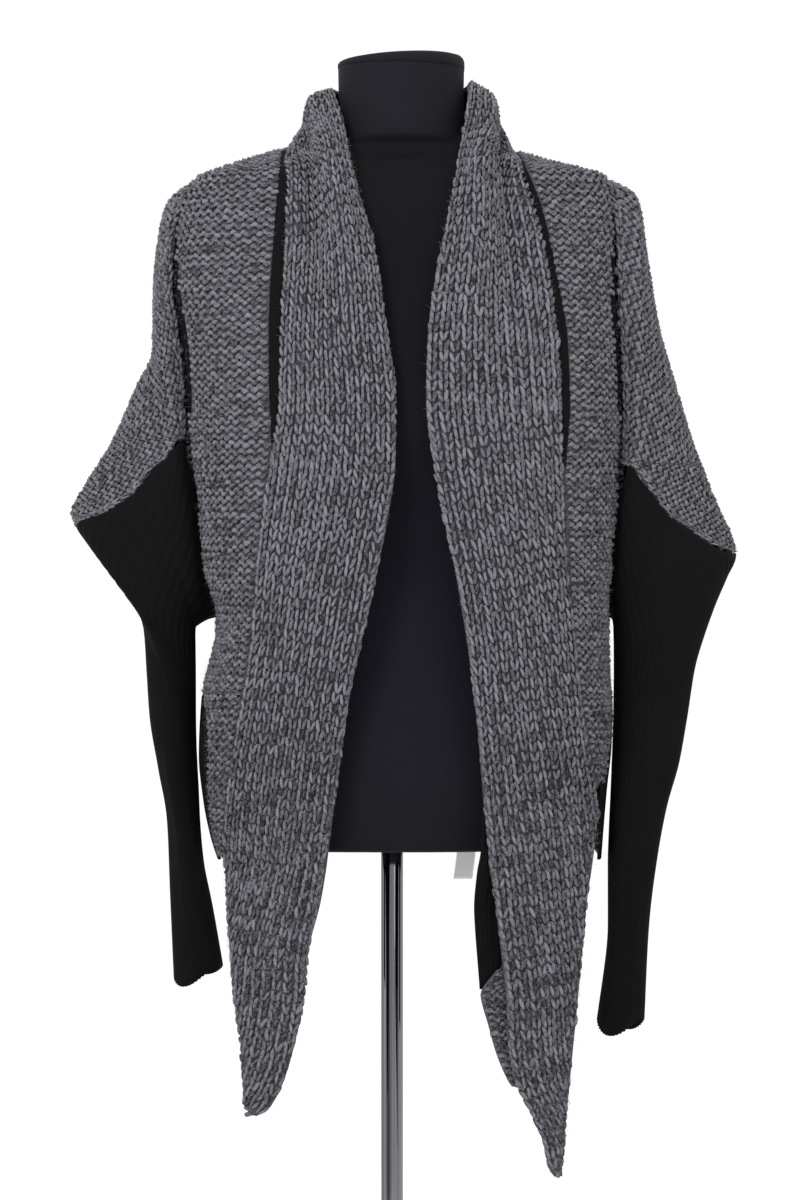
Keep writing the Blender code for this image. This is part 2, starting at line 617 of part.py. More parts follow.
def band_seam_rail(side):
    """The band's sewn edge: path, points and inward directions, from the back neck down."""
    points, inward = back_grid()
    half = BACK_COLUMNS // 2
    if side == "right":
        neck, neck_in = points[0, half::-1], inward[0, half::-1]
    else:
        neck, neck_in = points[0, half:], inward[0, half:]
    neck_path = np.linspace(-NECK_PATH, 0, half + 1)
    z, marks = stations(side)
    top = z[0]
    hung = np.linspace(z[-1], BAND_TIP[side], 9)[1:]
    sewn, sewn_in = body_point(side, turn_of(side, seam_x(side, z), z, "front"), z, "front")
    free = np.stack([seam_x(side, hung), BAND_FREE_Y[side].at("y", hung), hung], axis=-1)
    last = sewn[-1, 1] - BAND_FREE_Y[side].at("y", z[-1])
    free[:, 1] += last * (1 - ease((z[-1] - hung) / 0.10))
    rail = np.concatenate([neck[:-1], sewn, free])
    directions = np.concatenate([neck_in[:-1], sewn_in, np.repeat(sewn_in[-1:], len(free), axis=0)])
    path = np.concatenate([neck_path[:-1], top - z, top - hung])
    return path, rail, directions, half + len(z)


def heights(side, path):
    """The height of the band's sewn edge, by the way down the front."""
    return stations(side)[0][0] - path


def on_body_front(side, base, rail, edge, shares):
    """How deep the band lies where it follows the body's own front to its free edge."""

    def field(points):
        x, z = points[..., 0], points[..., 2]
        turn = turn_of(side, x, z, "front")
        return body_point(side, turn, z, "front")[0][..., 1]

    at_rail = (rail[:, 1] - field(rail))[:, None] * (1 - shares)
    at_edge = (edge[:, 1] - field(edge))[:, None] * shares**2
    return field(base) + at_rail + at_edge


def band_surface(side, shares):
    """Outer points and inward directions of a band, by the share of its width from the seam."""
    path, rail, seam_in, sewn_rows = band_seam_rail(side)
    table = BAND_EDGE[side]
    scale = table.key[-1] / path[-1]
    way = np.where(path > 0, path * scale, path)
    edge = np.stack([table.at(name, way) for name in "xyz"], axis=-1)
    chord = edge - rail
    along = np.gradient((rail + edge) / 2, axis=0)
    out = -unit(np.cross(along, chord)) * SIDES[side]
    swell = table.at("swell", way)[:, None] * np.sin(math.pi * np.clip(shares, 0, 1))
    ridge = np.exp(-(((shares - 0.74) / 0.20) ** 2))
    valley = np.exp(-(((shares - 0.32) / 0.15) ** 2))
    fade = ease(shares / 0.15) * ease((1.15 - shares) / 0.15)
    rise = swell + table.at("roll", way)[:, None] * (ridge - 0.30 * valley) * fade
    base = rail[:, None] + chord[:, None] * shares[..., None]
    over_body = on_body_front(side, base, rail, edge, shares)
    follow = ease(path / 0.02) * ease((heights(side, path) - 0.90) / 0.15)
    base[..., 1] = mix(base[..., 1], over_body, follow[:, None])
    points = base + out[:, None] * rise[..., None]
    points[0, :, 0] = BODY_CENTRE
    across = np.gradient(points, axis=1)
    down = np.gradient(points, axis=0)
    own = unit(np.cross(down, across)) * SIDES[side]
    sewn = np.arange(len(path)) < sewn_rows
    blend = np.where(sewn[:, None], ease(shares / 0.22), 1.0)[..., None]
    inward = mix(seam_in[:, None], own, blend)
    inward[0, :, 0] = 0.0
    return points, unit(inward)


def band(side):
    """The front band and collar, from the middle of the back neck to the hanging point."""
    path, _, _, _ = band_seam_rail(side)
    shares = np.broadcast_to(BAND_SHARES, (len(path), len(BAND_SHARES)))
    points, inward = band_surface(side, shares)
    outer = trimmed(points, inward, "top", "first")
    return wall("band_" + side, outer, outer + inward * KNIT_WALL, grey_knit())


def behind_left_band(name, level, columns, depth, thickness, finish):
    """A piece of cloth behind the hanging left band, that far behind the band's own face."""
    path, _, _, _ = band_seam_rail("left")
    level_of = heights("left", path)
    order = np.argsort(level_of)
    dense = np.linspace(-0.1, 1.4, 61)
    points, inward = band_surface("left", np.broadcast_to(dense, (len(path), len(dense))))
    outer = np.empty((*columns.shape, 3))
    into = np.empty_like(outer)
    for target, source in ((outer, points), (into, inward)):
        for axis in range(3):
            lines = [np.interp(level, level_of[order], line) for line in source[order, :, axis].T]
            for row, across in enumerate(np.array(lines).T):
                target[row, :, axis] = np.interp(columns[row], dense, across)
    into = unit(into)
    face = outer + into * depth[:, None, None]
    return wall(name, face, face + into * thickness, finish)


def band_turnback():
    """The band's lower corner, turned back so that its point shows past the free edge."""
    level = np.linspace(0.745, 0.590, 8)
    columns = mix(0.06, TURNBACK_REACH.at("reach", level)[:, None], np.linspace(0, 1, 7))
    depth = np.full(8, KNIT_WALL + 0.0017)
    return behind_left_band("band_turnback_left", level, columns, depth, KNIT_WALL, grey_knit())


def hem_loose_end():
    """The loose end of the rib hem, folded in behind the band and behind its turned corner."""
    level = np.linspace(0.842, 0.684, 8)
    columns = mix(0.15, LOOSE_HEM_REACH.at("reach", level)[:, None], np.linspace(0, 1, 7))
    depth = KNIT_WALL + 0.0013 + (KNIT_WALL + 0.0024) * ease((0.80 - level) / 0.05)
    return behind_left_band("hem_loose_end_left", level, columns, depth, RIB_WALL, black_rib())


def hem():
    """The black rib hem, round the back from one body front's corner to the other."""
    points, inward = back_grid()
    top, top_in = points[-1], inward[-1]
    finer = np.linspace(0, BACK_COLUMNS, BACK_COLUMNS * RIBS_PER_BACK_COLUMN * 2 + 1)
    index = np.arange(BACK_COLUMNS + 1)
    top = np.stack([np.interp(finer, index, top[:, axis]) for axis in range(3)], axis=-1)
    top_in = np.stack([np.interp(finer, index, top_in[:, axis]) for axis in range(3)], axis=-1)
    rows = [top]
    directions = [unit(top_in)]
    share = np.abs(finer / BACK_COLUMNS * 2 - 1)
    steps = len(FRONT_CORNER["right"].key)
    for row in range(1, steps):
        ring = np.empty_like(top)
        into = np.empty_like(top)
        for side in SIDES:
            mask = (finer > BACK_COLUMNS / 2) == (side == "left")
            end_z = FRONT_CORNER[side].key[row]
            if side == "left":
                end_z = mix(HEM_TOP_Z, 0.790, row / (steps - 1))
            end_x = FRONT_CORNER[side].at("x", max(end_z, FRONT_CORNER[side].key.min()))
            end = math.pi - turn_of(side, end_x, end_z, "front")
            middle_z = mix(top[len(top) // 2, 2], HEM_LOWEST_Z + 0.012, row / (steps - 1))
            level = mix(middle_z, end_z, ease(share[mask]))
            turn = end * share[mask]
            behind = turn <= math.pi / 2
            for face, chosen in (("back", behind), ("front", ~behind)):
                at = turn[chosen] if face == "back" else math.pi - turn[chosen]
                where = np.flatnonzero(mask)[chosen]
                ring[where], into[where] = body_point(side, at, level[chosen], face)
        rows.append(ring)
        directions.append(into)
    outer, into = np.array(rows), np.array(directions)
    outer = trimmed(outer, into, "top", "first", "last")
    rise = np.where(np.arange(outer.shape[1]) % 2 == 1, RIB_RISE, 0.0)
    ribs = np.zeros(outer.shape[:2])
    ribs[1:, 1:-1] = rise[1:-1]
    raised = outer - into * ribs[..., None]
    return wall("hem_rib", raised, outer + into * RIB_WALL, black_rib())


def sleeve_seam_ring(side, angle):
    """Ring number at which the rib starts, for each angle round the sleeve."""
    degrees = np.degrees(np.abs(np.arctan2(np.sin(angle), np.cos(angle))))
    start = SLEEVE_SEAM[side].at("ring", degrees)
    return np.where(degrees <= UPPER_SLEEVE_REACH[side] + 1e-6, start, 0.0)


def upper_sleeve(side):
    """The grey upper sleeve: it caps the arm and is open along the underarm."""
    reach = UPPER_SLEEVE_REACH[side]
    count = round(2 * reach / (360 / RING_STEPS))
    angle = np.radians(np.linspace(-reach, reach, count + 1))
    end = sleeve_seam_ring(side, angle)
    share = np.linspace(0, 1, 8)
    rings = end[None, :] * share[:, None]
    angles = np.broadcast_to(angle, rings.shape)
    points = sleeve_point(side, angles, rings)
    inward = sleeve_inward(side, angles, rings)
    outer = trimmed(points, inward, "top")
    outer = trimmed(outer, inward, "bottom", gap=UPPER_SEAM_GAP)
    return wall("sleeve_upper_" + side, outer, outer + inward * KNIT_WALL, grey_knit())


def rib_sleeve(side):
    """The black rib sleeve: from the slanted seam and the underarm down to the open cuff."""
    angle = np.arange(RING_STEPS) * 2 * math.pi / RING_STEPS
    start = sleeve_seam_ring(side, angle)
    last = SLEEVE[side].key[-1]
    rings = mix(start[None, :], last, np.array(SLEEVE_SHARES)[:, None])
    angles = np.broadcast_to(angle, rings.shape)
    points = sleeve_point(side, angles, rings)
    inward = sleeve_inward(side, angles, rings)
    loop = np.concatenate([points[:, -1:], points, points[:, :1]], axis=1)
    loop_in = np.concatenate([inward[:, -1:], inward, inward[:, :1]], axis=1)
    outer = trimmed(loop, loop_in, "top", gap=RIB_SEAM_GAP)[:, 1:-1]
    ribs = np.zeros(rings.shape)
    ribs[1:, 1::2] = RIB_RISE
    raised = outer - inward * ribs[..., None]
    return wall("sleeve_rib_" + side, raised, outer + inward * RIB_WALL, black_rib(), closed=True)


def care_label():
    """A blank care label, sewn inside the hem at the back, that hangs below the form."""
    turn = turn_of("left", LABEL_X, LABEL_TOP_Z, "back")
    sewn, _ = body_point("left", turn, np.array(LABEL_TOP_Z), "back")
    level = np.linspace(0, 1, 6)[:, None]
    across = np.array([[-0.5, 0.0, 0.5]])
    x = LABEL_X + across * LABEL_WIDTH - 0.006 * level
    z = LABEL_TOP_Z - LABEL_LENGTH * level + 0 * x
    curve = 0.003 * np.sin(level * math.pi) + 0.0008 * (1 - 4 * across**2)
    outer = np.stack([x, sewn[1] - RIB_WALL - 0.0022 - LABEL_THICKNESS - curve, z], axis=-1)
    inner = outer + np.array([0.0, LABEL_THICKNESS, 0.0])
    finish = material("white_label_satin", (0.80, 0.78, 0.79), 0.6)
    return wall("care_label", outer, inner, finish)


def form_ring(z, draw_in=0.0):
    """One level of the form: points all round it, rounder at the neck than at the hips."""
    angle = np.arange(FORM_SIDES) * 2 * math.pi / FORM_SIDES
    wide = FORM.at("half_width", z) - draw_in
    front, back = FORM.at("front", z) - draw_in, FORM.at("back", z) - draw_in
    power = 2 / mix(BODY_ROUNDNESS, 2.0, ease((z - 1.38) / 0.04))
    x = np.sign(np.cos(angle)) * np.abs(np.cos(angle)) ** power * wide
    deep = np.where(np.sin(angle) > 0, back, front)
    y = np.sign(np.sin(angle)) * np.abs(np.sin(angle)) ** power * deep
    lean = BODY_CENTRE * ease((z - FORM_BOTTOM_Z) / 0.40)
    return np.stack([x + lean, y, np.full(FORM_SIDES, z)], axis=-1)


def stacked(name, rings, finish):
    """A solid of stacked rings with flat ends."""
    mesh = bmesh.new()
    levels = [[mesh.verts.new(p) for p in ring] for ring in rings]
    for lower, upper in zip(levels, levels[1:]):
        for k in range(len(lower)):
            after = (k + 1) % len(lower)
            mesh.faces.new((lower[k], lower[after], upper[after], upper[k]))
    mesh.faces.new(levels[0][::-1])
    mesh.faces.new(levels[-1])
    bmesh.ops.recalc_face_normals(mesh, faces=mesh.faces)
    return add_object(name, mesh, finish)


def form_torso():
    rings = [form_ring(FORM_BOTTOM_Z, FORM_LEVELS[0] - FORM_BOTTOM_Z)]
    rings += [form_ring(z) for z in FORM_LEVELS]
    rings.append(form_ring(NECK_TOP_Z))
    return stacked("form_torso", rings, black_jersey())


def form_neck_cap():
    """The padded cap on the neck, highest a little to the left."""
    rings = []
    for share, rise in ((1.0, 0.0), (0.97, 0.45), (0.82, 0.80), (0.55, 0.95), (0.25, 1.0)):
        ring = form_ring(NECK_TOP_Z)
        centre = ring.mean(axis=0)
        ring = centre + (ring - centre) * share
        tilt = NECK_CAP_TILT * (ring[:, 0] - centre[0]) / FORM.at("half_width", NECK_TOP_Z)
        ring[:, 2] = NECK_TOP_Z + SEAM_GAP + rise * NECK_CAP_RISE * (1 + tilt)
        rings.append(ring)
    return stacked("form_neck_cap", rings, black_jersey())


def turned(name, radius, bottom, top, finish, chamfer=0.0, sides=32):
    """A round bar or plate, with its rims chamfered."""
    mesh = bmesh.new()
    depth = top - bottom
    bmesh.ops.create_cone(
        mesh, cap_ends=True, segments=sides, radius1=radius, radius2=radius, depth=depth
    )
    if chamfer:
        rims = [edge for edge in mesh.edges if len({round(v.co.z, 6) for v in edge.verts}) == 1]
        bmesh.ops.bevel(mesh, geom=rims, offset=chamfer, segments=1, affect="EDGES")
    made = add_object(name, mesh, finish)
    made.location = (0.0, 0.0, (top + bottom) / 2)
    return made


def stand():
    """Base plate, the collar on it, and the chrome pole that carries the form."""
    chrome = material("polished_chrome", (0.62, 0.62, 0.63), 0.12, 1.0)
    steel = material("satin_steel", (0.45, 0.45, 0.46), 0.35, 1.0)
    collar_top = BASE_THICKNESS + SEAM_GAP + COLLAR_HEIGHT
    turned("base_plate", BASE_RADIUS, 0.0, BASE_THICKNESS, steel, 0.002, 48)
    turned("base_collar", COLLAR_RADIUS, BASE_THICKNESS + SEAM_GAP, collar_top, steel, 0.002)
    turned("pole", POLE_RADIUS, collar_top + SEAM_GAP, FORM_BOTTOM_Z - SEAM_GAP, chrome, 0.0, 28)


def build():
    for old in list(bpy.data.objects):
        bpy.data.objects.remove(old, do_unlink=True)
    stand()
    form_torso()
    form_neck_cap()
    back_panel()
    for side in SIDES:
        front_panel(side)
        trim_strip(side)
        band(side)
        upper_sleeve(side)
        rib_sleeve(side)
    hem()
    hem_loose_end()
    band_turnback()
    care_label()


build()
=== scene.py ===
import math

import bmesh
import bpy
import numpy as np
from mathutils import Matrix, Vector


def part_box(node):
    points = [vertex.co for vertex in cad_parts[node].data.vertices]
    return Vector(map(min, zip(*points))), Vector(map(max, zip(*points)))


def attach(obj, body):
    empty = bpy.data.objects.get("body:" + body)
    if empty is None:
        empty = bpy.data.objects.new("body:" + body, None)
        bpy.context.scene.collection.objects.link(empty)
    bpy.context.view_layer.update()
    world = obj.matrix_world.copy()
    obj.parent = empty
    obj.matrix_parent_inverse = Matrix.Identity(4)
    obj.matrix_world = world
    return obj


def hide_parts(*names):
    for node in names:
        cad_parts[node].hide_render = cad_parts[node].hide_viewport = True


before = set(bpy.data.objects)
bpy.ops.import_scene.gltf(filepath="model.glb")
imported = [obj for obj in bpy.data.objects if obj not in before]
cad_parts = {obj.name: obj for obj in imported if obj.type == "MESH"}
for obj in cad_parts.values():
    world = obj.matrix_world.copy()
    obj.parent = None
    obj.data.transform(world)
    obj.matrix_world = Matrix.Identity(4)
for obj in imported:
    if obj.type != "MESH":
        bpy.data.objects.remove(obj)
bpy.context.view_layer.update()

# ------------------------------------------------------------------ studio
# A plain pale floor, broad soft lights and a white surround. The lens is long and stands
# level with the form's waist, so the cardigan is seen nearly without perspective.


def linear(hex_colour, alpha=1.0):
    """An sRGB hex colour as the linear one that shaders take."""
    parts = [int(hex_colour[k : k + 2], 16) / 255 for k in (1, 3, 5)]
    return (*(p / 12.92 if p < 0.04045 else ((p + 0.055) / 1.055) ** 2.4 for p in parts), alpha)


def add_node(tree, kind, values=None, links=None, **settings):
    """Adds a node to a tree: its settings, the values of its sockets, and what feeds them."""
    made = tree.nodes.new("ShaderNode" + kind)
    for name, value in settings.items():
        setattr(made, name, value)
    for socket, value in (values or {}).items():
        made.inputs[socket].default_value = value
    for socket, source in (links or {}).items():
        tree.links.new(source, made.inputs[socket])
    return made


def new_material(name, **sockets):
    """A material and its principled shader, with the given values on the shader's sockets."""
    made = bpy.data.materials.new(name)
    made.use_nodes = True
    shader = made.node_tree.nodes["Principled BSDF"]
    for socket, value in sockets.items():
        shader.inputs[socket.replace("_", " ")].default_value = value
    return made, made.node_tree, shader


def put(name, mesh, finish, smooth=True):
    """Makes an object of a bmesh or a mesh, in place, with one material."""
    if isinstance(mesh, bmesh.types.BMesh):
        data = bpy.data.meshes.new(name)
        mesh.to_mesh(data)
        mesh.free()
    else:
        data = mesh
    data.materials.append(finish)
    if smooth:
        data.shade_smooth()
    made = bpy.data.objects.new(name, data)
    bpy.context.scene.collection.objects.link(made)
    return made


# Rolled matt emulsion: broad, faint clouds, metres wide, keep it from one flat white.
FLOOR_SIZE = 30.0
floor_paint, tree, shader = new_material("floor_matt_white_paint", Roughness=0.9)
grain = add_node(tree, "TexNoise", {"Scale": 1.5, "Detail": 3.0})
ramp = add_node(tree, "ValToRGB", links={"Fac": grain.outputs["Fac"]})
ramp.color_ramp.elements[0].color = linear("#FBFBFB")
ramp.color_ramp.elements[1].color = linear("#FFFFFF")
tree.links.new(ramp.outputs["Color"], shader.inputs["Base Color"])
mesh = bmesh.new()
bmesh.ops.create_grid(mesh, x_segments=1, y_segments=1, size=FLOOR_SIZE / 2)
floor = put("studio_floor", mesh, floor_paint, smooth=False)

surround = bpy.data.worlds.new("white_surround")
surround.use_nodes = True
surround.node_tree.nodes["Background"].inputs["Color"].default_value = (1.0, 1.0, 1.0, 1.0)
surround.node_tree.nodes["Background"].inputs["Strength"].default_value = 1.05
bpy.context.scene.world = surround
bpy.context.scene.view_settings.view_transform = "Standard"

for label, place, aim, size, power in (
    ("key", (-1.6, -3.0, 2.9), (0.0, 0.0, 1.1), 1.2, 85.0),
    ("fill", (2.2, -2.8, 2.0), (0.0, 0.0, 1.0), 1.8, 22.0),
    ("top", (0.0, -0.6, 3.4), (0.0, 0.0, 1.2), 1.4, 12.0),
):
    light = bpy.data.lights.new("soft_box_" + label, "AREA")
    light.size = size
    light.energy = power
    lamp = bpy.data.objects.new("soft_box_" + label, light)
    offset = np.array(aim) - np.array(place)
    lamp.location = place
    lamp.rotation_euler = (
        math.acos(-offset[2] / np.linalg.norm(offset)), 0.0,
        math.atan2(offset[1], offset[0]) - math.pi / 2,
    )
    bpy.context.scene.collection.objects.link(lamp)

lens = bpy.data.cameras.new("long_lens")
lens.lens = 115.9
lens.sensor_width = 36.0
lens.clip_end = 100.0
camera = bpy.data.objects.new("camera", lens)
camera.location = (0.007, -3.4, 1.016)
camera.rotation_euler = (math.pi / 2, 0.0, 0.0)
bpy.context.scene.collection.objects.link(camera)
bpy.context.scene.camera = camera

# ------------------------------------------------------------------ stand
# A chromed steel tube stands in a short collar on a round steel plate. The plate is
# turned with a rounded rim, and the collar holds the tube with a small grub screw.


def toned_finish(
    name, kind, values, tones, ends=(0.0, 1.0), stretch=(1.0, 1.0, 1.0), settings=None, **sockets
):
    """A finish that one pattern, fixed to the piece, takes from a dark tone to a light one."""
    made, tree, shader = new_material(name, **sockets)
    where = add_node(tree, "TexCoord")
    placed = add_node(tree, "Mapping", {"Scale": stretch}, {"Vector": where.outputs["Object"]})
    marks = add_node(tree, kind, values, {"Vector": placed.outputs["Vector"]}, **(settings or {}))
    ramp = add_node(tree, "ValToRGB", links={"Fac": marks.outputs["Fac"]})
    for stop, end, tone in zip(ramp.color_ramp.elements, ends, tones):
        stop.position = end
        stop.color = linear(tone)
    tree.links.new(ramp.outputs["Color"], shader.inputs["Base Color"])
    return made


# Bright plate on drawn tube: a hard mirror of the room. They are drawn 4 mm apart, coarser
# than real ones, so that they show. Its colour is made darker, with faint streaks along its
# length 4 mm apart, as painted reflection of dark things round it.
chrome = toned_finish(
    "chromed_steel_tube", "TexNoise", {"Scale": 230.0, "Detail": 2.0}, ("#36363A", "#88888D"),
    ends=(0.36, 0.66), stretch=(1.0, 1.0, 0.004), Metallic=1.0, Roughness=0.07,
)

# Turned and left unpolished: a soft, broad gloss that the tool's marks break up a little.
# The marks are drawn 1 mm apart, coarser than real ones.
satin_steel, tree, shader = new_material("turned_satin_steel", Metallic=1.0)
where = add_node(tree, "TexCoord")
marks = add_node(
    tree, "TexNoise", {"Scale": 900.0, "Detail": 2.0}, {"Vector": where.outputs["Object"]}
)
shine = add_node(
    tree, "MapRange", {"To Min": 0.26, "To Max": 0.38}, {"Value": marks.outputs["Fac"]}
)
tree.links.new(shine.outputs["Result"], shader.inputs["Roughness"])
shader.inputs["Base Color"].default_value = linear("#A8A8AC")


def dress(piece, node):
    """The piece stands for a CAD node, and rides on the one body."""
    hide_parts(node)
    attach(piece, "root")


BAR_SIDES = 96
RIM_ANGLE = math.radians(35)


def turned(name, radius, low, high, finish, rim):
    """A round bar or plate, with a rounded rim at both ends."""
    made = bmesh.new()
    bmesh.ops.create_cone(
        made, cap_ends=True, segments=BAR_SIDES, radius1=radius, radius2=radius, depth=high - low
    )
    bmesh.ops.translate(made, verts=made.verts, vec=(0.0, 0.0, (low + high) / 2))
    rims = [e for e in made.edges if len({round(v.co.z, 6) for v in e.verts}) == 1]
    bmesh.ops.bevel(
        made, geom=rims, offset=rim, segments=3, profile=0.5, affect="EDGES", material=-1
    )
    piece = put(name, made, finish)
    piece.data.set_sharp_from_angle(angle=RIM_ANGLE)
    return piece


for name, node, radius, finish, rim in (
    ("stand_tube", "pole", 0.00975, chrome, 0.0004),
    ("stand_collar", "base_collar", 0.026, satin_steel, 0.0025),
    ("stand_plate", "base_plate", 0.190, satin_steel, 0.0022),
):
    low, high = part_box(node)
    piece = turned(name, radius, low.z, high.z, finish, rim)
    dress(piece, node)

# ------------------------------------------------------------------ dress form
# A padded torso without arms or head, covered in tightly stretched black jersey, with a
# covered cap on the neck. Its sections are the CAD form's own, drawn as one smooth skin.


def smooth(key, values, where):
    """Reads a column between its rows, by a cubic that never overshoots them."""
    order = np.argsort(key)
    key, values = key[order], values[order]
    step = np.diff(key)
    rise = np.diff(values) / step
    same_way = rise[:-1] * rise[1:] > 0
    both = np.where(same_way, rise[:-1] + rise[1:], 1.0)
    inner = np.where(same_way, 2 * rise[:-1] * rise[1:] / both, 0.0)
    slope = np.concatenate([rise[:1], inner, rise[-1:]])
    where = np.clip(np.asarray(where, float), key[0], key[-1])
    row = np.clip(np.searchsorted(key, where) - 1, 0, len(step) - 1)
    part = (where - key[row]) / step[row]
    left = (1 + 2 * part) * (1 - part) ** 2 * values[row]
    right = part**2 * (3 - 2 * part) * values[row + 1]
    turn = part * (1 - part) ** 2 * slope[row] - part**2 * (1 - part) * slope[row + 1]
    return left + right + step[row] * turn


class Sections:
    """Rows of named columns, lengths in millimetres. Any column is read at the first one."""

    def __init__(self, names, *rows):
        names = names.split()
        units = [1 if name in ("ring", "angle", "reach") else 1000 for name in names]
        self.columns = dict(zip(names, (np.array(rows, float) / units).T))
        self.key = self.columns[names[0]]

    def at(self, name, where):
        return smooth(self.key, self.columns[name], where)


def mix(first, second, part):
    return first + (second - first) * part


def unit(vectors):
    return vectors / np.linalg.norm(vectors, axis=-1, keepdims=True)


def ease(part):
    """0 to 1 with level ends."""
    part = np.clip(part, 0.0, 1.0)
    return part * part * (3 - 2 * part)


def skin(points, closed=False, lining=None):
    """A bmesh sheet over a grid of points, joined round its columns where closed.

    With a lining, a second grid of points, it becomes a closed wall between the two.
    """
    rows, columns = points.shape[:2]
    made = bmesh.new()
    wide = columns if closed else columns - 1
    place = made.verts.layers.int.new("place")
    bmesh.ops.create_grid(made, x_segments=wide, y_segments=rows - 1, size=0.5)
    for vert in made.verts:
        row = round((vert.co.y + 0.5) * (rows - 1))
        column = round((vert.co.x + 0.5) * wide) % columns
        vert.co = points[row, column]
        vert[place] = row * columns + column
    if closed:
        bmesh.ops.remove_doubles(made, verts=made.verts, dist=1e-7)
    if lining is not None:
        flat = lining.reshape(-1, 3)
        grown = bmesh.ops.extrude_face_region(made, geom=made.faces[:], use_keep_orig=True)
        for vert in grown["geom"]:
            if isinstance(vert, bmesh.types.BMVert):
                vert.co = flat[vert[place]]
        bmesh.ops.recalc_face_normals(made, faces=made.faces)
    return made


BODY_CENTRE = 0.008
BODY_ROUNDNESS = 2.6
FORM_BOTTOM_Z = 0.800
NECK_TOP_Z = 1.485
FORM = Sections(
    "z half_width front back", (1485, 55.5, 55, 55), (1450, 55, 55, 55), (1430, 56, 55, 56),
    (1420, 58.5, 54, 56), (1412.5, 74, 46, 51), (1405.5, 96.2, 47, 57), (1391.5, 144, 59, 65),
    (1377.5, 169.5, 70, 76), (1358, 178, 82, 85), (1320, 179, 98, 94), (1270, 170, 111, 97),
    (1220, 159, 118, 95), (1170, 150, 120, 90), (1110, 135, 108, 84), (1040, 122, 93, 82),
    (970, 128, 96, 90), (900, 147, 103, 99), (845, 154, 105, 102), (800, 152, 101, 99),
)
FORM_SIDES = 120
FORM_RIM = 0.006

# Stretched cotton jersey: a soft black, nearly matt, worn paler in patches 11 cm across. Its
# wales lie 1.2 mm apart, as on real jersey, and give the gloss a fine grain.
jersey, tree, shader = new_material(
    "stretched_black_jersey", Roughness=0.8, Specular_IOR_Level=0.10, Sheen_Weight=0.02
)
where = add_node(tree, "TexCoord")
soil = add_node(
    tree, "TexNoise", {"Scale": 9.0, "Detail": 4.0}, {"Vector": where.outputs["Object"]}
)
parts = add_node(tree, "SeparateXYZ", links={"Vector": where.outputs["Object"]})
height = add_node(
    tree, "MapRange", {"From Min": 0.8, "From Max": 1.5}, {"Value": parts.outputs["Z"]}
)
height_shade = add_node(tree, "ValToRGB", links={"Fac": height.outputs["Result"]})
# Painted shade: the colour darkens with height over the chest, 1.30 to 1.40 m up, where the
# cardigan above shades it; the neck and the waist are paler than the chest.
for position, colour in (
    (0.0, "#0E0D12"), (0.30, "#11101A"), (0.55, "#0C0B10"), (0.72, "#060508"), (0.86, "#060508"),
    (0.885, "#141319"), (1.0, "#141319"),
):
    stop = height_shade.color_ramp.elements.new(position) if 0.0 < position < 1.0 else None
    stop = stop or height_shade.color_ramp.elements[0 if position == 0.0 else -1]
    stop.color = linear(colour)
spots = add_node(tree, "MapRange", {"To Min": 0.85, "To Max": 1.15}, {"Value": soil.outputs["Fac"]})
shade = add_node(
    tree, "VectorMath", links={0: height_shade.outputs["Color"], 1: spots.outputs["Result"]},
    operation="MULTIPLY",
)
tree.links.new(shade.outputs["Vector"], shader.inputs["Base Color"])
loops = add_node(
    tree, "TexWave", {"Scale": 260.0, "Distortion": 1.5, "Detail": 1.0},
    {"Vector": where.outputs["Object"]}, bands_direction="X",
)
bump = add_node(
    tree, "Bump", {"Strength": 0.12, "Distance": 0.0003}, {"Height": loops.outputs["Fac"]}
)
tree.links.new(bump.outputs["Normal"], shader.inputs["Normal"])


def form_ring(z, draw_in=0.0):
    """One level of the form: points all round it, rounder at the neck than at the hips."""
    angle = np.arange(FORM_SIDES) * 2 * math.pi / FORM_SIDES
    wide = FORM.at("half_width", z) - draw_in
    front, back = FORM.at("front", z) - draw_in, FORM.at("back", z) - draw_in
    power = 2 / mix(BODY_ROUNDNESS, 2.0, ease((z - 1.38) / 0.04))
    x = np.sign(np.cos(angle)) * np.abs(np.cos(angle)) ** power * wide
    deep = np.where(np.sin(angle) > 0, back, front)
    y = np.sign(np.sin(angle)) * np.abs(np.sin(angle)) ** power * deep
    lean = BODY_CENTRE * ease((z - FORM_BOTTOM_Z) / 0.40)
    return np.stack([x + lean, y, np.full(FORM_SIDES, z)], axis=-1)


def cover(name, rings, node):
    """A jersey skin over rings of points, closed at both ends, that stands for a CAD node."""
    mesh = skin(np.array(rings), closed=True)
    bmesh.ops.holes_fill(mesh, edges=[e for e in mesh.edges if e.is_boundary], sides=0)
    bmesh.ops.recalc_face_normals(mesh, faces=mesh.faces)
    dress(put(name, mesh, jersey), node)


rings = [
    form_ring(FORM_BOTTOM_Z + FORM_RIM * (1 - math.cos(a)), FORM_RIM * (1 - math.sin(a)))
    for a in (0.0, 0.5, 1.0)
]
levels = np.concatenate([
    np.linspace(FORM_BOTTOM_Z + FORM_RIM, 1.36, 60), np.linspace(1.364, 1.425, 30),
    np.linspace(1.43, NECK_TOP_Z, 12),
])
cover("form_torso_skin", rings + [form_ring(z) for z in levels], "form_torso")

# The cap is a padded disc set on the neck's slanted top, covered in the same jersey.
CAP_HEIGHT = 0.0085
CAP_TILT = 0.38
CAP_LIFT = 0.0003
rings = []
for share, rise in (
    (1.004, -0.30), (1.006, 0.0), (1.004, 0.30), (0.985, 0.55), (0.95, 0.72), (0.86, 0.86),
    (0.70, 0.93), (0.45, 0.97), (0.2, 1.0),
):
    ring = form_ring(NECK_TOP_Z)
    centre = ring.mean(axis=0)
    ring = centre + (ring - centre) * share
    tilt = CAP_TILT * (ring[:, 0] - centre[0]) / FORM.at("half_width", NECK_TOP_Z)
    ring[:, 2] = NECK_TOP_Z + CAP_LIFT + rise * CAP_HEIGHT * (1 + tilt)
    rings.append(ring)
cover("form_neck_cap_skin", rings, "form_neck_cap")

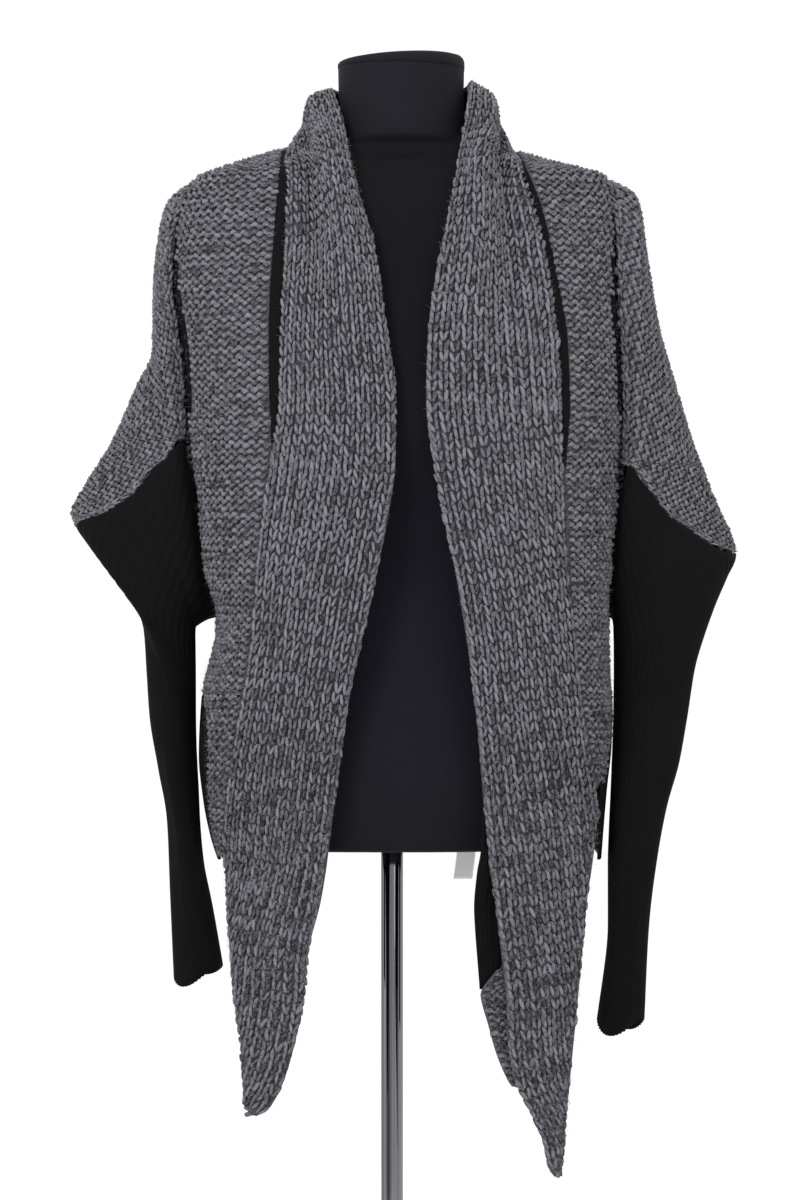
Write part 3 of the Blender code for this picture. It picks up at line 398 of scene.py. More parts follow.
# ------------------------------------------------------------------ body fronts and back
# Chunky marl yarn, knitted in reverse stockinette: rows of short interlocked bumps. Each
# front and the back is a soft ground cloth, with the bumps of every stitch laid on it.

GROUND_SINK = 0.0022
GROUND_WALL = 0.0016
ARMHOLE_DEPTH = 0.054
UNDERARM_Z = 1.003
HEM_TOP_Z = 0.937
BACK_NECK_DROP = 0.009
SIDES = {"right": -1.0, "left": 1.0}
BODY_EDGE = {
    "right": Sections(
        "z x", (1417.5, -84), (1411, -99.4), (1397, -143.4), (1383, -176), (1330, -189),
        (1298, -190), (1226, -181.5), (1153, -176), (1100, -170), (1037, -163), (1003, -154),
        (985, -154.5), (960, -160), (937, -166), (880, -169), (840, -165), (810, -159),
        (785, -151),
    ),
    "left": Sections(
        "z x", (1417, 92.5), (1410, 108), (1398.5, 147), (1386, 190), (1330, 195), (1289, 195.5),
        (1226, 198.5), (1180, 200), (1125, 197.5), (1050, 192.5), (1003, 190), (960, 190.5),
        (920, 193), (887.5, 192), (850, 188), (750, 180),
    ),
}
BODY_DEPTH = Sections(
    "z front back", (1417.5, 42, 56), (1407.2, 56, 68), (1388.3, 74, 82), (1360.6, 92, 95),
    (1324.8, 107, 104), (1280.8, 120, 109), (1237.7, 128, 110), (1186.2, 133, 109),
    (1084, 134, 106), (980, 132, 106), (930, 130, 109), (830, 126, 116), (760, 124, 118),
    (520, 124, 118),
)
BAND_SEAM = {
    "right": Sections(
        "z x", (1415, -88), (1407.2, -88.6), (1360.6, -91.1), (1280.8, -93.9), (1186.2, -95.6),
        (1135.2, -103.5), (1033, -116.3), (982, -120.8), (930.8, -127.8), (879.5, -136.8),
        (828.3, -144.1), (794, -146.5), (717, -141.4), (674.2, -136.9), (639.9, -131.5),
        (577, -127.5),
    ),
    "left": Sections(
        "z x", (1415, 100), (1407.2, 104.4), (1388.3, 111.3), (1360.6, 121.3), (1324.8, 130),
        (1280.8, 137.1), (1237.7, 142.5), (1135.2, 146.3), (1033, 151.8), (981.9, 156.9),
        (930.8, 162.8), (879.5, 171.6), (828.3, 178.8), (794, 175.2), (759.8, 170),
        (674.2, 161.4), (605.5, 154.3), (523, 146.5),
    ),
}
TRIM_WIDTH = {
    "right": Sections("z width", (1415, 6.2), (1320, 8), (1255, 9.5), (1190, 8), (1150, 1.2)),
    "left": Sections("z width", (1415, 4.5), (1320, 5), (1255, 7), (1190, 7.2), (1128, 1.2)),
}
TRIM_END_Z = {"right": 1.150, "left": 1.128}
FRONT_CORNER = {
    "right": Sections("z x", (937, -164), (898, -160), (860, -160.2), (811, -156), (790, -150)),
    "left": Sections("z x", (937, 192.5), (905, 191.2), (880, 188), (862, 184.5), (852, 180)),
}
ARMHOLE_TOP_Z = {"right": 1.3830, "left": 1.3860}
SHOULDER_TOP_Z = {"right": 1.4100, "left": 1.4075}
NECK_Z = {"right": 1.4145, "left": 1.4120}
SEAM_GAP = 0.0006
BACK_FOLD = 0.0045
BACK_FOLD_APART = 0.098


def armhole_angle(side, z):
    """The angle round the armhole ring at a height: 0 on the shoulder, pi under the arm."""
    top = ARMHOLE_TOP_Z[side]
    return np.arccos(np.clip((2 * z - top - UNDERARM_Z) / (top - UNDERARM_Z), -1.0, 1.0))


def half_width(side, z, face):
    """Half the body's width at a height, so that its face meets the armhole ring."""
    cut = ARMHOLE_DEPTH * np.sin(armhole_angle(side, z))
    reach = np.abs(BODY_EDGE[side].at("x", z) - BODY_CENTRE)
    round_part = (cut / BODY_DEPTH.at(face, z)) ** BODY_ROUNDNESS
    return reach / (1 - round_part) ** (1 / BODY_ROUNDNESS)


def turn_of(side, x, z, face):
    """The angle round the body at which it passes x: 0 in the middle, 90 degrees at the side."""
    share = np.clip(np.abs(x - BODY_CENTRE) / half_width(side, z, face), 0.0, 1.0)
    return np.arcsin(share ** (BODY_ROUNDNESS / 2))


def back_wave(x, z):
    """Soft upright folds in the lower back, which the hem shares."""
    low = ease((1.20 - z) / 0.30)
    return BACK_FOLD * low * np.sin((x - BODY_CENTRE) * 2 * math.pi / BACK_FOLD_APART)


def body_point(side, turn, z, face):
    """A point of the body's outer face."""
    power = 2 / BODY_ROUNDNESS
    across = np.maximum(np.sin(turn), 0.0) ** power
    along = np.maximum(np.cos(turn), 0.0) ** power
    x = BODY_CENTRE + SIDES[side] * half_width(side, z, face) * across
    y = BODY_DEPTH.at(face, z) * along
    if face == "back":
        y = y + back_wave(x, z) * along
    return np.stack([x, -y if face == "front" else y, z + 0 * x], axis=-1)


def normals(points, closed=False):
    """The outward direction at each point of a grid whose rows run down and columns right."""
    down = np.gradient(points, axis=0)
    if closed:
        across = np.roll(points, -1, axis=1) - np.roll(points, 1, axis=1)
    else:
        across = np.gradient(points, axis=1)
    facing = np.cross(down, across)
    length = np.linalg.norm(facing, axis=-1, keepdims=True)
    return facing / np.maximum(length, 1e-12)


class Cloth:
    """A dense grid of one cloth's outer face: rows run down, columns to the viewer's right."""

    def __init__(self, points, start_column=0, closed=False):
        self.points = points
        self.closed = closed
        self.out = normals(points, closed)
        steps = np.linalg.norm(np.diff(points, axis=1), axis=-1)
        across = np.concatenate([np.zeros((len(points), 1)), np.cumsum(steps, axis=1)], axis=1)
        self.across = across - across[:, [start_column]]
        steps = np.linalg.norm(np.diff(points, axis=0), axis=-1).mean(axis=1)
        self.down = np.concatenate([[0.0], np.cumsum(steps)])

    def at(self, across, down):
        """Points and outward directions at ways across and down the cloth, in metres."""
        row = np.clip(np.searchsorted(self.down, down) - 1, 0, len(self.down) - 2)
        part = ((down - self.down[row]) / (self.down[row + 1] - self.down[row]))[..., None]
        apart = 10.0  # metres between rows laid end to end, more than any cloth is wide
        width = self.across.shape[1]
        flat = (self.across + np.arange(len(self.across))[:, None] * apart).ravel()
        found = []
        for line in (row, row + 1):
            spot = np.searchsorted(flat, across + line * apart) - 1
            spot = np.clip(spot, line * width, line * width + width - 2)
            share = (across + line * apart - flat[spot]) / (flat[spot + 1] - flat[spot])
            column = spot - line * width
            for grid in (self.points, self.out):
                near, far = grid[line, column], grid[line, column + 1]
                found.append(mix(near, far, share[..., None]))
        return mix(found[0], found[2], part), unit(mix(found[1], found[3], part))

    def edges(self, down):
        """The ways across at which the cloth's two side edges lie, at a way down it."""
        first = np.interp(down, self.down, self.across[:, 0])
        return first, np.interp(down, self.down, self.across[:, -1])

    def area(self):
        """The area of the face, in square metres."""
        cells = self.points[1:, 1:] - self.points[:-1, :-1]
        other = self.points[1:, :-1] - self.points[:-1, 1:]
        return float(np.linalg.norm(np.cross(cells, other), axis=-1).sum() / 2)


def ground(name, cloth, finish, sink=GROUND_SINK, wall=GROUND_WALL):
    """The cloth under the stitches: a thin closed wall, sunk below the stitches' own face."""
    outer = cloth.points - cloth.out * sink
    return put(name, skin(outer, cloth.closed, outer - cloth.out * wall), finish)


def front_strip(side, z, armhole, middle, columns):
    """A strip of the front's face between two angles round the body, at each height."""
    order = (armhole, middle) if side == "right" else (middle, armhole)
    turns = mix(order[0][:, None], order[1][:, None], np.linspace(0, 1, columns)[None])
    return body_point(side, turns, np.repeat(z[:, None], columns, axis=1), "front")


def front_cloth(side):
    """A body front's face, from the band's seam or the trim out to the armhole and side."""
    low = FRONT_CORNER[side].key.min()
    z = np.concatenate([
        np.linspace(SHOULDER_TOP_Z[side], ARMHOLE_TOP_Z[side], 14)[:-1],
        np.linspace(ARMHOLE_TOP_Z[side], low + 0.001, 170),
    ])
    width = np.where(z >= TRIM_END_Z[side], TRIM_WIDTH[side].at("width", z), 0.0)
    inner_x = BAND_SEAM[side].at("x", z) + SIDES[side] * (width + SEAM_GAP)
    edge_x = BODY_EDGE[side].at("x", z)
    inner_x = BODY_CENTRE + SIDES[side] * np.minimum(
        np.abs(inner_x - BODY_CENTRE), np.abs(edge_x - BODY_CENTRE) - 0.0005
    )
    inner = turn_of(side, inner_x, z, "front")
    outer = np.where(z > ARMHOLE_TOP_Z[side], turn_of(side, edge_x, z, "front"), math.pi / 2)
    corner = turn_of(side, FRONT_CORNER[side].at("x", z), z, "front")
    outer = np.where(z < HEM_TOP_Z, corner, outer)
    return Cloth(front_strip(side, z, outer, inner, 49), start_column=48 if side == "right" else 0)


def back_level(side, row):
    """The height at a share of the way down one side of the back."""
    marks = (NECK_Z[side], ARMHOLE_TOP_Z[side], UNDERARM_Z, HEM_TOP_Z)
    return np.interp(row, (0.0, 0.07, 0.86, 1.0), marks)


def back_cloth():
    """The back's face, seen from behind: the wearer's left side is at the viewer's left."""
    row = np.linspace(0, 1, 150)
    middle = (back_level("right", row) + back_level("left", row)) / 2
    drop = BACK_NECK_DROP * (1 - ease(row * 4))
    share = np.linspace(0, 1, 61)
    halves = []
    for side in SIDES:
        z = back_level(side, row)
        shoulder = turn_of(side, BODY_EDGE[side].at("x", z), z, "back")
        turn = np.where(z > ARMHOLE_TOP_Z[side], shoulder, math.pi / 2)
        level = mix((middle - drop)[:, None], z[:, None], ease(share)[None])
        halves.append(body_point(side, turn[:, None] * share[None], level, "back"))
    right, left = halves
    return Cloth(np.concatenate([left[:, ::-1], right[:, 1:]], axis=1), start_column=60)


def template(made):
    """The points of a bmesh shape and the corners of its triangles, to be laid many times."""
    bmesh.ops.triangulate(made, faces=made.faces[:])
    made.verts.index_update()
    points = np.array([v.co[:] for v in made.verts])
    corners = np.array([[v.index for v in f.verts] for f in made.faces])
    made.free()
    return points, corners


def strand(sides, rings):
    """One plump stretch of yarn, a unit sphere of few faces."""
    made = bmesh.new()
    bmesh.ops.create_uvsphere(made, u_segments=sides, v_segments=rings, radius=0.5)
    return template(made)


PURL_PITCH = 0.0094
PURL_ROW = 0.0068
PURL_POINTS, PURL_CORNERS = strand(5, 4)


def purl_bump(up):
    """Half a purl stitch as (across, down, out): a short arc that bows up or down."""
    way = PURL_POINTS[:, 2] * 2
    across = way * PURL_PITCH * 0.43
    bow = 1 - way**2
    down = -up * PURL_ROW * (0.03 + 0.22 * bow) + PURL_POINTS[:, 0] * PURL_ROW * 0.70
    out = 0.0022 * bow - 0.0018 + PURL_POINTS[:, 1] * 0.0030
    return np.stack([across, down, out], axis=-1)


WALE_DRIFT = 0.0009


def spread(cloth, rows, pitch, wales=None, hold=math.inf, inset=0.0):
    """Centres of the stitches of level rows, each row evenly filled from edge to edge.

    With a number of wales they keep to it, and lie a little uneven along their length, as
    knit ones do. Below the way down of hold, the outer edge cuts across them.
    """
    made = []
    lean = np.gradient(cloth.points[:, np.argmin(np.abs(cloth.across[0])), 0], cloth.down)
    for row, down in enumerate(rows):
        first, last = cloth.edges(down)
        first, last = first + inset, last - inset
        count = wales or max(1, round(float(last - first) / pitch))
        column = np.arange(count)
        shear = -float(np.interp(down, cloth.down, lean)) if wales else 0.0
        level = down + shear * (first + (column + 0.5) * (last - first) / count)
        if wales:
            uneven = np.sin(column * 2.3 + row * 0.31) + np.sin(column * 5.1 + row * 0.83)
            level = level + WALE_DRIFT * uneven
        start, end = cloth.edges(np.minimum(level, hold))
        wide = (end - start - 2 * inset) / count
        first, last = cloth.edges(level)
        first, last = first + inset, last - inset
        from_first = first + (column + 0.5) * wide
        from_last = last - (count - column - 0.5) * wide
        across = from_first if abs(first[0]) < abs(last[0]) else from_last
        full = np.ones(count)
        made.append(np.stack([across, level, full * row, column, wide / pitch, full * shear]))
    found = np.concatenate(made, axis=1)
    first, last = cloth.edges(found[1])
    near = np.where(found[1] > hold, 0.42 * pitch, 0.0)
    inside = (found[0] > first + near) & (found[0] < last - near)
    inside &= (found[1] > 0.3 * pitch) & (found[1] < cloth.down[-1] - 0.4 * pitch)
    return found[:, inside]


# Marl yarn spun from dark and pale wool: flecks 2 mm long run along each strand, which is
# matt, with a faint sheen at its edge. Every stitch has its own tone.
marl_yarn, tree, shader = new_material(
    "wool_blend_marl_yarn", Roughness=0.92, Specular_IOR_Level=0.12, Sheen_Weight=0.05
)
tone = add_node(tree, "Attribute", attribute_name="yarn_tone")
where = add_node(tree, "TexCoord")
fleck = add_node(
    tree, "TexNoise", {"Scale": 430.0, "Detail": 3.0, "Roughness": 0.7},
    {"Vector": where.outputs["Object"]},
)
both = add_node(
    tree, "Math", {1: 1.5, 2: -0.475}, {0: fleck.outputs["Fac"]}, operation="MULTIPLY_ADD"
)
total = add_node(tree, "Math", links={0: both.outputs[0], 1: tone.outputs["Fac"]}, operation="ADD")
ramp = add_node(tree, "ValToRGB", links={"Fac": total.outputs[0]})
ramp.color_ramp.elements[0].position = 0.25
ramp.color_ramp.elements[0].color = linear("#1B1A1F")
ramp.color_ramp.elements[1].position = 0.95
ramp.color_ramp.elements[1].color = linear("#6D6C72")
tree.links.new(ramp.outputs["Color"], shader.inputs["Base Color"])

# The same yarn deep between the stitches, where little light reaches it: darker, flecked
# 3 mm long. It is darkest between the tight legs of the band.
marl_ground, band_ground = (
    toned_finish(
        name, "TexNoise", {"Scale": 300.0, "Detail": 3.0}, tones, Roughness=0.95,
        Specular_IOR_Level=0.05,
    )
    for name, tones in (
        ("marl_knit_between_bumps", ("#323237", "#545459")),
        ("marl_knit_between_legs", ("#2C2C31", "#4A4A50")),
    )
)


def joined(name, spots, corners, finish):
    """One piece of many like parts: the points of each, and the corners that they share."""
    starts = np.arange(len(spots)) * spots.shape[1]
    loops = (corners[None] + starts[:, None, None]).ravel()
    data = bpy.data.meshes.new(name)
    data.vertices.add(spots.size // 3)
    data.vertices.foreach_set("co", spots.astype(np.float32).ravel())
    data.loops.add(len(loops))
    data.loops.foreach_set("vertex_index", loops.astype(np.int32))
    data.polygons.add(len(loops) // 3)
    data.polygons.foreach_set("loop_start", np.arange(0, len(loops), 3, dtype=np.int32))
    data.update(calc_edges=True)
    piece = put(name, data, finish)
    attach(piece, "root")
    return piece


WOBBLE = 0.00030
SIZE_VARIES = 0.07
SLANT_VARIES = 0.10
YARN_TONE = 0.42
YARN_VARIES = 0.10
PLY_TONE = 0.17
# How much darker the lower cloth is painted, as shade.
LOW_SHADE_TONE = 0.10


def knit(name, cloth, places, shapes, corners, seed, slant=0.0):
    """Lays every stitch of a cloth as one joined mesh, each a little different.

    shapes are the parts of one stitch, each with its shift across and how much lighter it is
    painted: one leg of a stitch gets a painted highlight and the other painted shade, as the light
    falls from the left.
    """
    across, down, row, column, stretch, shear = places
    chance = np.random.default_rng(seed)
    drift = 0.0007 * np.sin(down * 37.0 + seed) + 0.0006 * np.sin(across * 53.0 + down * 21.0)
    points, tones = [], []
    for shape, shift, painted_light in shapes:
        count = len(across)
        wobble = chance.normal(0.0, WOBBLE, (count, 3))
        size = 1 + chance.normal(0.0, SIZE_VARIES, count)[:, None]
        turn = (chance.normal(0.0, SLANT_VARIES, count) + slant)[:, None]
        u = (shape[None, :, 0] * size + shift) * stretch[:, None]
        v = shape[None, :, 1] * size + u * shear[:, None]
        a = u * np.cos(turn) - v * np.sin(turn) + (across + drift + wobble[:, 0])[:, None]
        d = u * np.sin(turn) + v * np.cos(turn) + (down + drift * 0.7 + wobble[:, 1])[:, None]
        at, out = cloth.at(a.ravel(), d.ravel())
        rise = (shape[None, :, 2] * size + wobble[:, 2:]).ravel()
        points.append((at + out * rise[:, None]).reshape(count, -1, 3))
        yarn = 0.04 * np.sin(row * 2.1 + column * 0.23 + seed)
        yarn = yarn + chance.normal(0.0, YARN_VARIES, count)
        # Painted shade: below about 0.98 m the yarn is made a little darker, where less light falls
        # on the lower cloth.
        yarn -= LOW_SHADE_TONE * ease((0.98 - cloth.at(across, down)[0][:, 2]) / 0.12)
        start = chance.uniform(0.0, 6.3, (count, 1))
        plies = PLY_TONE * np.sin(np.arange(len(shape))[None] * 2.4 + start)
        tones.append(np.clip(YARN_TONE + painted_light + yarn[:, None] + plies, 0.0, 1.0).ravel())
    piece = joined(name, np.concatenate(points), corners, marl_yarn)
    tone = piece.data.attributes.new("yarn_tone", "FLOAT", "POINT")
    tone.data.foreach_set("value", np.concatenate(tones).astype(np.float32))
    return piece


PURL_INSET = 0.0016


def purl_knit(name, cloth, places, seed, slant=0.0):
    """Reverse stockinette over the given places of a cloth."""
    # The second bump of each purl stitch is painted a little darker, as shade.
    shapes = ((purl_bump(1.0), -PURL_PITCH / 4, 0.0), (purl_bump(-1.0), PURL_PITCH / 4, -0.03))
    return knit(name, cloth, places, shapes, PURL_CORNERS, seed, slant)


def purl_places(cloth, inset=PURL_INSET):
    """Places for level rows of bumps that fill a cloth."""
    rows = np.arange(PURL_ROW / 2, cloth.down[-1], PURL_ROW)
    return spread(cloth, rows, PURL_PITCH, inset=inset)


# Wear brushes short loose fibres up from the wool, which soften the knit and its outline.
# They catch the light, so they are paler. They are drawn 0.2 mm thick, coarser than real ones.
halo_fibre = toned_finish(
    "loose_wool_fibre", "TexNoise", {"Scale": 90.0, "Detail": 2.0}, ("#4B4A50", "#9C9BA1"),
    Roughness=0.95, Specular_IOR_Level=0.10, Sheen_Weight=0.05,
)
FIBRE_RADIUS = 0.00012
FIBRE_ROOT = 0.0008
FIBRE_LENGTHS = (0.0025, 0.0065)
FIBRES_PER_M2 = 42000
FIBRES_AT_EDGE = 0.18
mesh = bmesh.new()
bmesh.ops.create_cone(
    mesh, cap_ends=True, segments=3, radius1=FIBRE_RADIUS, radius2=0.0, depth=1.0
)
bmesh.ops.remove_doubles(mesh, verts=mesh.verts, dist=FIBRE_RADIUS / 10)
FIBRE_POINTS, FIBRE_CORNERS = template(mesh)


def halo(name, cloth, seed):
    """Loose fibres on a cloth's face: fine three-sided spikes, more of them at its edges."""
    chance = np.random.default_rng(seed)
    count = int(cloth.area() * FIBRES_PER_M2)
    down = chance.uniform(0.003, cloth.down[-1] - 0.004, count)
    share = chance.uniform(0.0, 1.0, count)
    at_edge = chance.uniform(0.0, 1.0, count) < FIBRES_AT_EDGE
    share = np.where(at_edge, np.round(share), share)
    first, last = cloth.edges(down)
    root, out = cloth.at(mix(first + 0.001, last - 0.001, share), down)
    way = unit(out * chance.uniform(0.15, 0.9, (count, 1)) + chance.normal(0.0, 0.6, (count, 3)))
    way = np.where((way * out).sum(axis=1, keepdims=True) < 0, -way, way)
    long = chance.uniform(*FIBRE_LENGTHS, (count, 1))
    side = unit(np.cross(way, chance.normal(0.0, 1.0, (count, 3))))
    other = np.cross(way, side)
    x, y, z = FIBRE_POINTS.T[:, None, :, None]
    spots = root[:, None] + side[:, None] * y - other[:, None] * x
    spots = spots + way[:, None] * mix(-FIBRE_ROOT, long[:, None], z + 0.5)
    return joined(name, spots, FIBRE_CORNERS, halo_fibre)


def declare(cloth, held, rests_on, *with_pieces):
    """Works out the widest span and the area of a cloth by its own face, as a soft knit hangs
    without stretching; nothing is done with them.
    """
    wide = float((cloth.across.max(axis=1) - cloth.across.min(axis=1)).max())
    if cloth.closed:
        wide += float(np.linalg.norm(cloth.points[:, 0] - cloth.points[:, -1], axis=-1).max())
    area = cloth.area()


back = back_cloth()
back.piece = ground("back_ground", back, marl_ground)
dress(back.piece, "back")
places = purl_places(back)
declare(
    back, "hung", ["form_torso_skin"],
    purl_knit("back_left_stitches", back, places[:, places[0] < 0], 13),
    purl_knit("back_right_stitches", back, places[:, places[0] >= 0], 14),
    halo("back_fibres", back, 73),
)

# The armhole seam pulls in below the shoulder into a groove. A black tape laid deep in it is
# painted shade, standing for the shadow in the groove.
GROOVE = Sections(
    "z width", (1330, 0.4), (1310, 2.2), (1270, 4), (1220, 4.4), (1190, 3), (1170, 0.4),
)
GROOVE_DEPTH = 0.0016
GROOVE_SHADE_LAP = 0.0008
GROOVE_SHADE_WALL = 0.0004


def groove_tape(side):
    """The face of the black tape of painted shade, along the front's edge of the armhole."""
    z = np.linspace(GROOVE.key.max(), GROOVE.key.min(), 90)
    edge = BODY_EDGE[side].at("x", z)
    inner_x = edge - SIDES[side] * (GROOVE.at("width", z) + GROOVE_SHADE_LAP)
    inner = turn_of(side, inner_x, z, "front")
    face = Cloth(front_strip(side, z, np.full(len(z), math.pi / 2), inner, 7))
    return Cloth(face.points - face.out * GROOVE_DEPTH)


# Painted shade for the armhole groove, drawn as a dull black knitted tape. Its courses, 2.4 mm
# apart, show as faint bands of two blacks.
groove_shade_tape = toned_finish(
    "black_groove_shade_tape", "TexWave", {"Scale": 130.0, "Distortion": 2.0},
    ("#070708", "#131316"), settings={"bands_direction": "Z"}, Roughness=0.93,
    Specular_IOR_Level=0.08,
)

front_cloths = {side: front_cloth(side) for side in SIDES}
for side, cloth in front_cloths.items():
    cloth.piece = ground("front_%s_ground" % side, cloth, marl_ground)
    dress(cloth.piece, "front_" + side)
    groove_shade = ground(
        "armhole_%s_binding" % side, groove_tape(side), groove_shade_tape, 0.0, GROOVE_SHADE_WALL
    )
    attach(groove_shade, "root")
    places = purl_places(cloth)
    x, z = cloth.at(places[0], places[1])[0][:, ::2].T
    open_groove = (z < GROOVE.key.max()) & (z > GROOVE.key.min())
    bare = np.where(open_groove, GROOVE.at("width", z), 0.0)
    clear = np.abs(x - BODY_EDGE[side].at("x", z)) > bare + PURL_INSET
    stitches = purl_knit(
        "front_%s_stitches" % side, cloth, places[:, clear], 11 if side == "right" else 12
    )
    fibres = halo("front_%s_fibres" % side, cloth, 71 if side == "right" else 72)
    cloth.sewn_on = (stitches, fibres, groove_shade)

# ------------------------------------------------------------------ black trims
# A narrow black knitted tape is set between the upper band and each front. It is sewn in
# along both edges, so it lies a little deeper than the knit beside it.

TAPE_COURSE = 0.0024
RIB_WALL = 0.0022
TRIM_SINK = 0.0016
TRIM_CROWN = 0.0012
COURSE_RISE = 0.0005

# Fine worsted, dyed black and knitted tight: matt, and only a shade uneven, in patches 4 cm
# across where handling has dulled it. The same yarn makes the rib sleeves and the hem.
rib_yarn = toned_finish(
    "fine_black_rib_knit", "TexNoise", {"Scale": 25.0, "Detail": 5.0}, ("#070708", "#0C0C0D"),
    Roughness=0.92, Specular_IOR_Level=0.08, Sheen_Weight=0.01,
)


def trim_cloth(side):
    """The tape's face, from the shoulder down to the point where it runs out."""
    z = np.linspace(SHOULDER_TOP_Z[side] - 0.0006, TRIM_END_Z[side], 420)
    inner_x = BAND_SEAM[side].at("x", z) - SIDES[side] * 0.0004
    outer_x = BAND_SEAM[side].at("x", z) + SIDES[side] * (TRIM_WIDTH[side].at("width", z) + 0.0010)
    edge = np.abs(BODY_EDGE[side].at("x", z) - BODY_CENTRE) - 0.0003
    outer_x = BODY_CENTRE + SIDES[side] * np.minimum(np.abs(outer_x - BODY_CENTRE), edge)
    outer, inner = (turn_of(side, x, z, "front") for x in (outer_x, inner_x))
    flat = Cloth(front_strip(side, z, outer, inner, 9))
    share = np.linspace(0, 1, 9)
    chevron = flat.down[:, None] * math.pi / TAPE_COURSE + 2.2 * np.abs(share - 0.5)
    crown = TRIM_CROWN * (1 - (2 * share - 1) ** 2)
    rise = crown[None] + COURSE_RISE * np.abs(np.sin(chevron)) - TRIM_SINK
    return Cloth(flat.points + flat.out * rise[..., None])


# Each front's trim, which is sewn to it, is made here.
for side, cloth in front_cloths.items():
    trim = ground("trim_%s_tape" % side, trim_cloth(side), rib_yarn, 0.0, RIB_WALL)
    dress(trim, "trim_" + side)
    declare(cloth, "hung", ["back_ground", "form_torso_skin"], *cloth.sewn_on, trim)

# ------------------------------------------------------------------ front band
# A strip 11 cm wide, knitted lengthwise in stockinette and sewn on from the hanging point
# up the front, round the back neck and down again. Above, it rolls over as a collar.

KNIT_WALL = 0.0045
NECK_PATH = 0.130
BAND_TIP = {"right": 0.577, "left": 0.523}
TIP_ROUND = 0.016
COLLAR_LOBE = {"right": 0.6, "left": 0.1}
BAND_EDGE = {
    "right": Sections(
        "path x y z swell roll", (-130, 8, 71.5, 1464, 4, 0), (-85, -28.5, 63.5, 1465, 5, 0),
        (-40, -47, 38, 1468, 7, 2), (0, -52, -2, 1465, 7, 4), (11, -41, -47, 1431, 6, 8),
        (28, -35.5, -68, 1402, 6, 13), (55, -27.5, -89, 1365, 4, 14),
        (90, -16.2, -108, 1326, 3, 12), (134, -8.6, -122, 1281, 4, 7),
        (177, -2.7, -131, 1237, 5, 3), (229, 2.9, -136, 1186, 6, 0),
        (280, 3.5, -137, 1134.5, 6, 0), (331, -3.2, -136.5, 1084, 6, 0),
        (382, -13.9, -135, 1033, 6, 0), (484, -36.6, -131, 931.2, 5, 0),
        (586, -51.5, -128, 829.2, 6, 0), (653, -61.7, -124, 761.2, 7, 0),
        (696, -71.6, -120, 718.8, 7, 0), (739, -75.8, -115, 676.2, 6, 0),
        (773, -82.1, -111, 642.1, 5, 0), (808, -93.5, -107, 602, 4, 0),
        (838, -108.5, -102, 574, 2, 0),
    ),
    "left": Sections(
        "path x y z swell roll", (-130, 8, 71.5, 1464, 4, 0), (-85, 44.5, 63.5, 1465, 5, 0),
        (-40, 64, 38, 1472.5, 7, 2), (0, 68, -2, 1472.5, 7, 4), (11, 65, -44, 1442, 7, 9),
        (28, 59, -68, 1403, 8, 14), (55, 51, -89, 1365, 5, 16), (90, 43, -108, 1326, 3, 14),
        (134, 35, -122, 1281, 3, 9), (177, 29.9, -131, 1237, 4, 5), (229, 28.7, -136, 1186, 5, 2),
        (280, 35.6, -137, 1134.5, 6, 0), (331, 44.6, -136.5, 1084, 6, 0),
        (382, 54.9, -135, 1033, 6, 0), (484, 71, -131, 931.2, 5, 0),
        (586, 80.9, -128, 829.2, 5, 0), (653, 88.8, -125, 761.2, 6, 0),
        (739, 97.6, -119, 676.2, 6, 0), (775, 99.3, -116, 642.1, 6, 0),
        (808, 105.3, -113, 608, 5, 0), (840, 119.9, -109, 576, 4, 0), (862, 129, -105, 554, 3, 0),
        (892, 134.5, -100, 523, 2, 0),
    ),
}
BAND_FREE_Y = {
    "right": Sections("z y", (790, -70), (700, -82), (620, -92), (577, -97)),
    "left": Sections("z y", (840, -58), (760, -74), (640, -88), (515, -96)),
}


def band_rail(side, path):
    """The band's sewn edge at a way along it: round the back neck, then down the front."""
    share = np.clip(1 + path / NECK_PATH, 0.0, 1.0)
    top, corner_z = NECK_Z[side], FRONT_CORNER[side].key.min()
    edge_turn = turn_of(side, BODY_EDGE[side].at("x", top), top, "back")
    middle = (NECK_Z["right"] + NECK_Z["left"]) / 2 - BACK_NECK_DROP
    neck = body_point(side, edge_turn * share, mix(middle, top, ease(share)), "back")
    z = top - np.maximum(path, 0.0)
    held = np.maximum(z, corner_z)
    turn = turn_of(side, BAND_SEAM[side].at("x", held), held, "front")
    sewn = body_point(side, turn, held, "front")
    y = BAND_FREE_Y[side].at("y", z)
    last = sewn[..., 1] - BAND_FREE_Y[side].at("y", corner_z)
    y = y + last * (1 - ease((corner_z - z) / 0.10))
    free = np.stack([BAND_SEAM[side].at("x", z), y, z], axis=-1)
    front = np.where((z >= corner_z)[..., None], sewn, free)
    return np.where((path < 0)[..., None], neck, front)


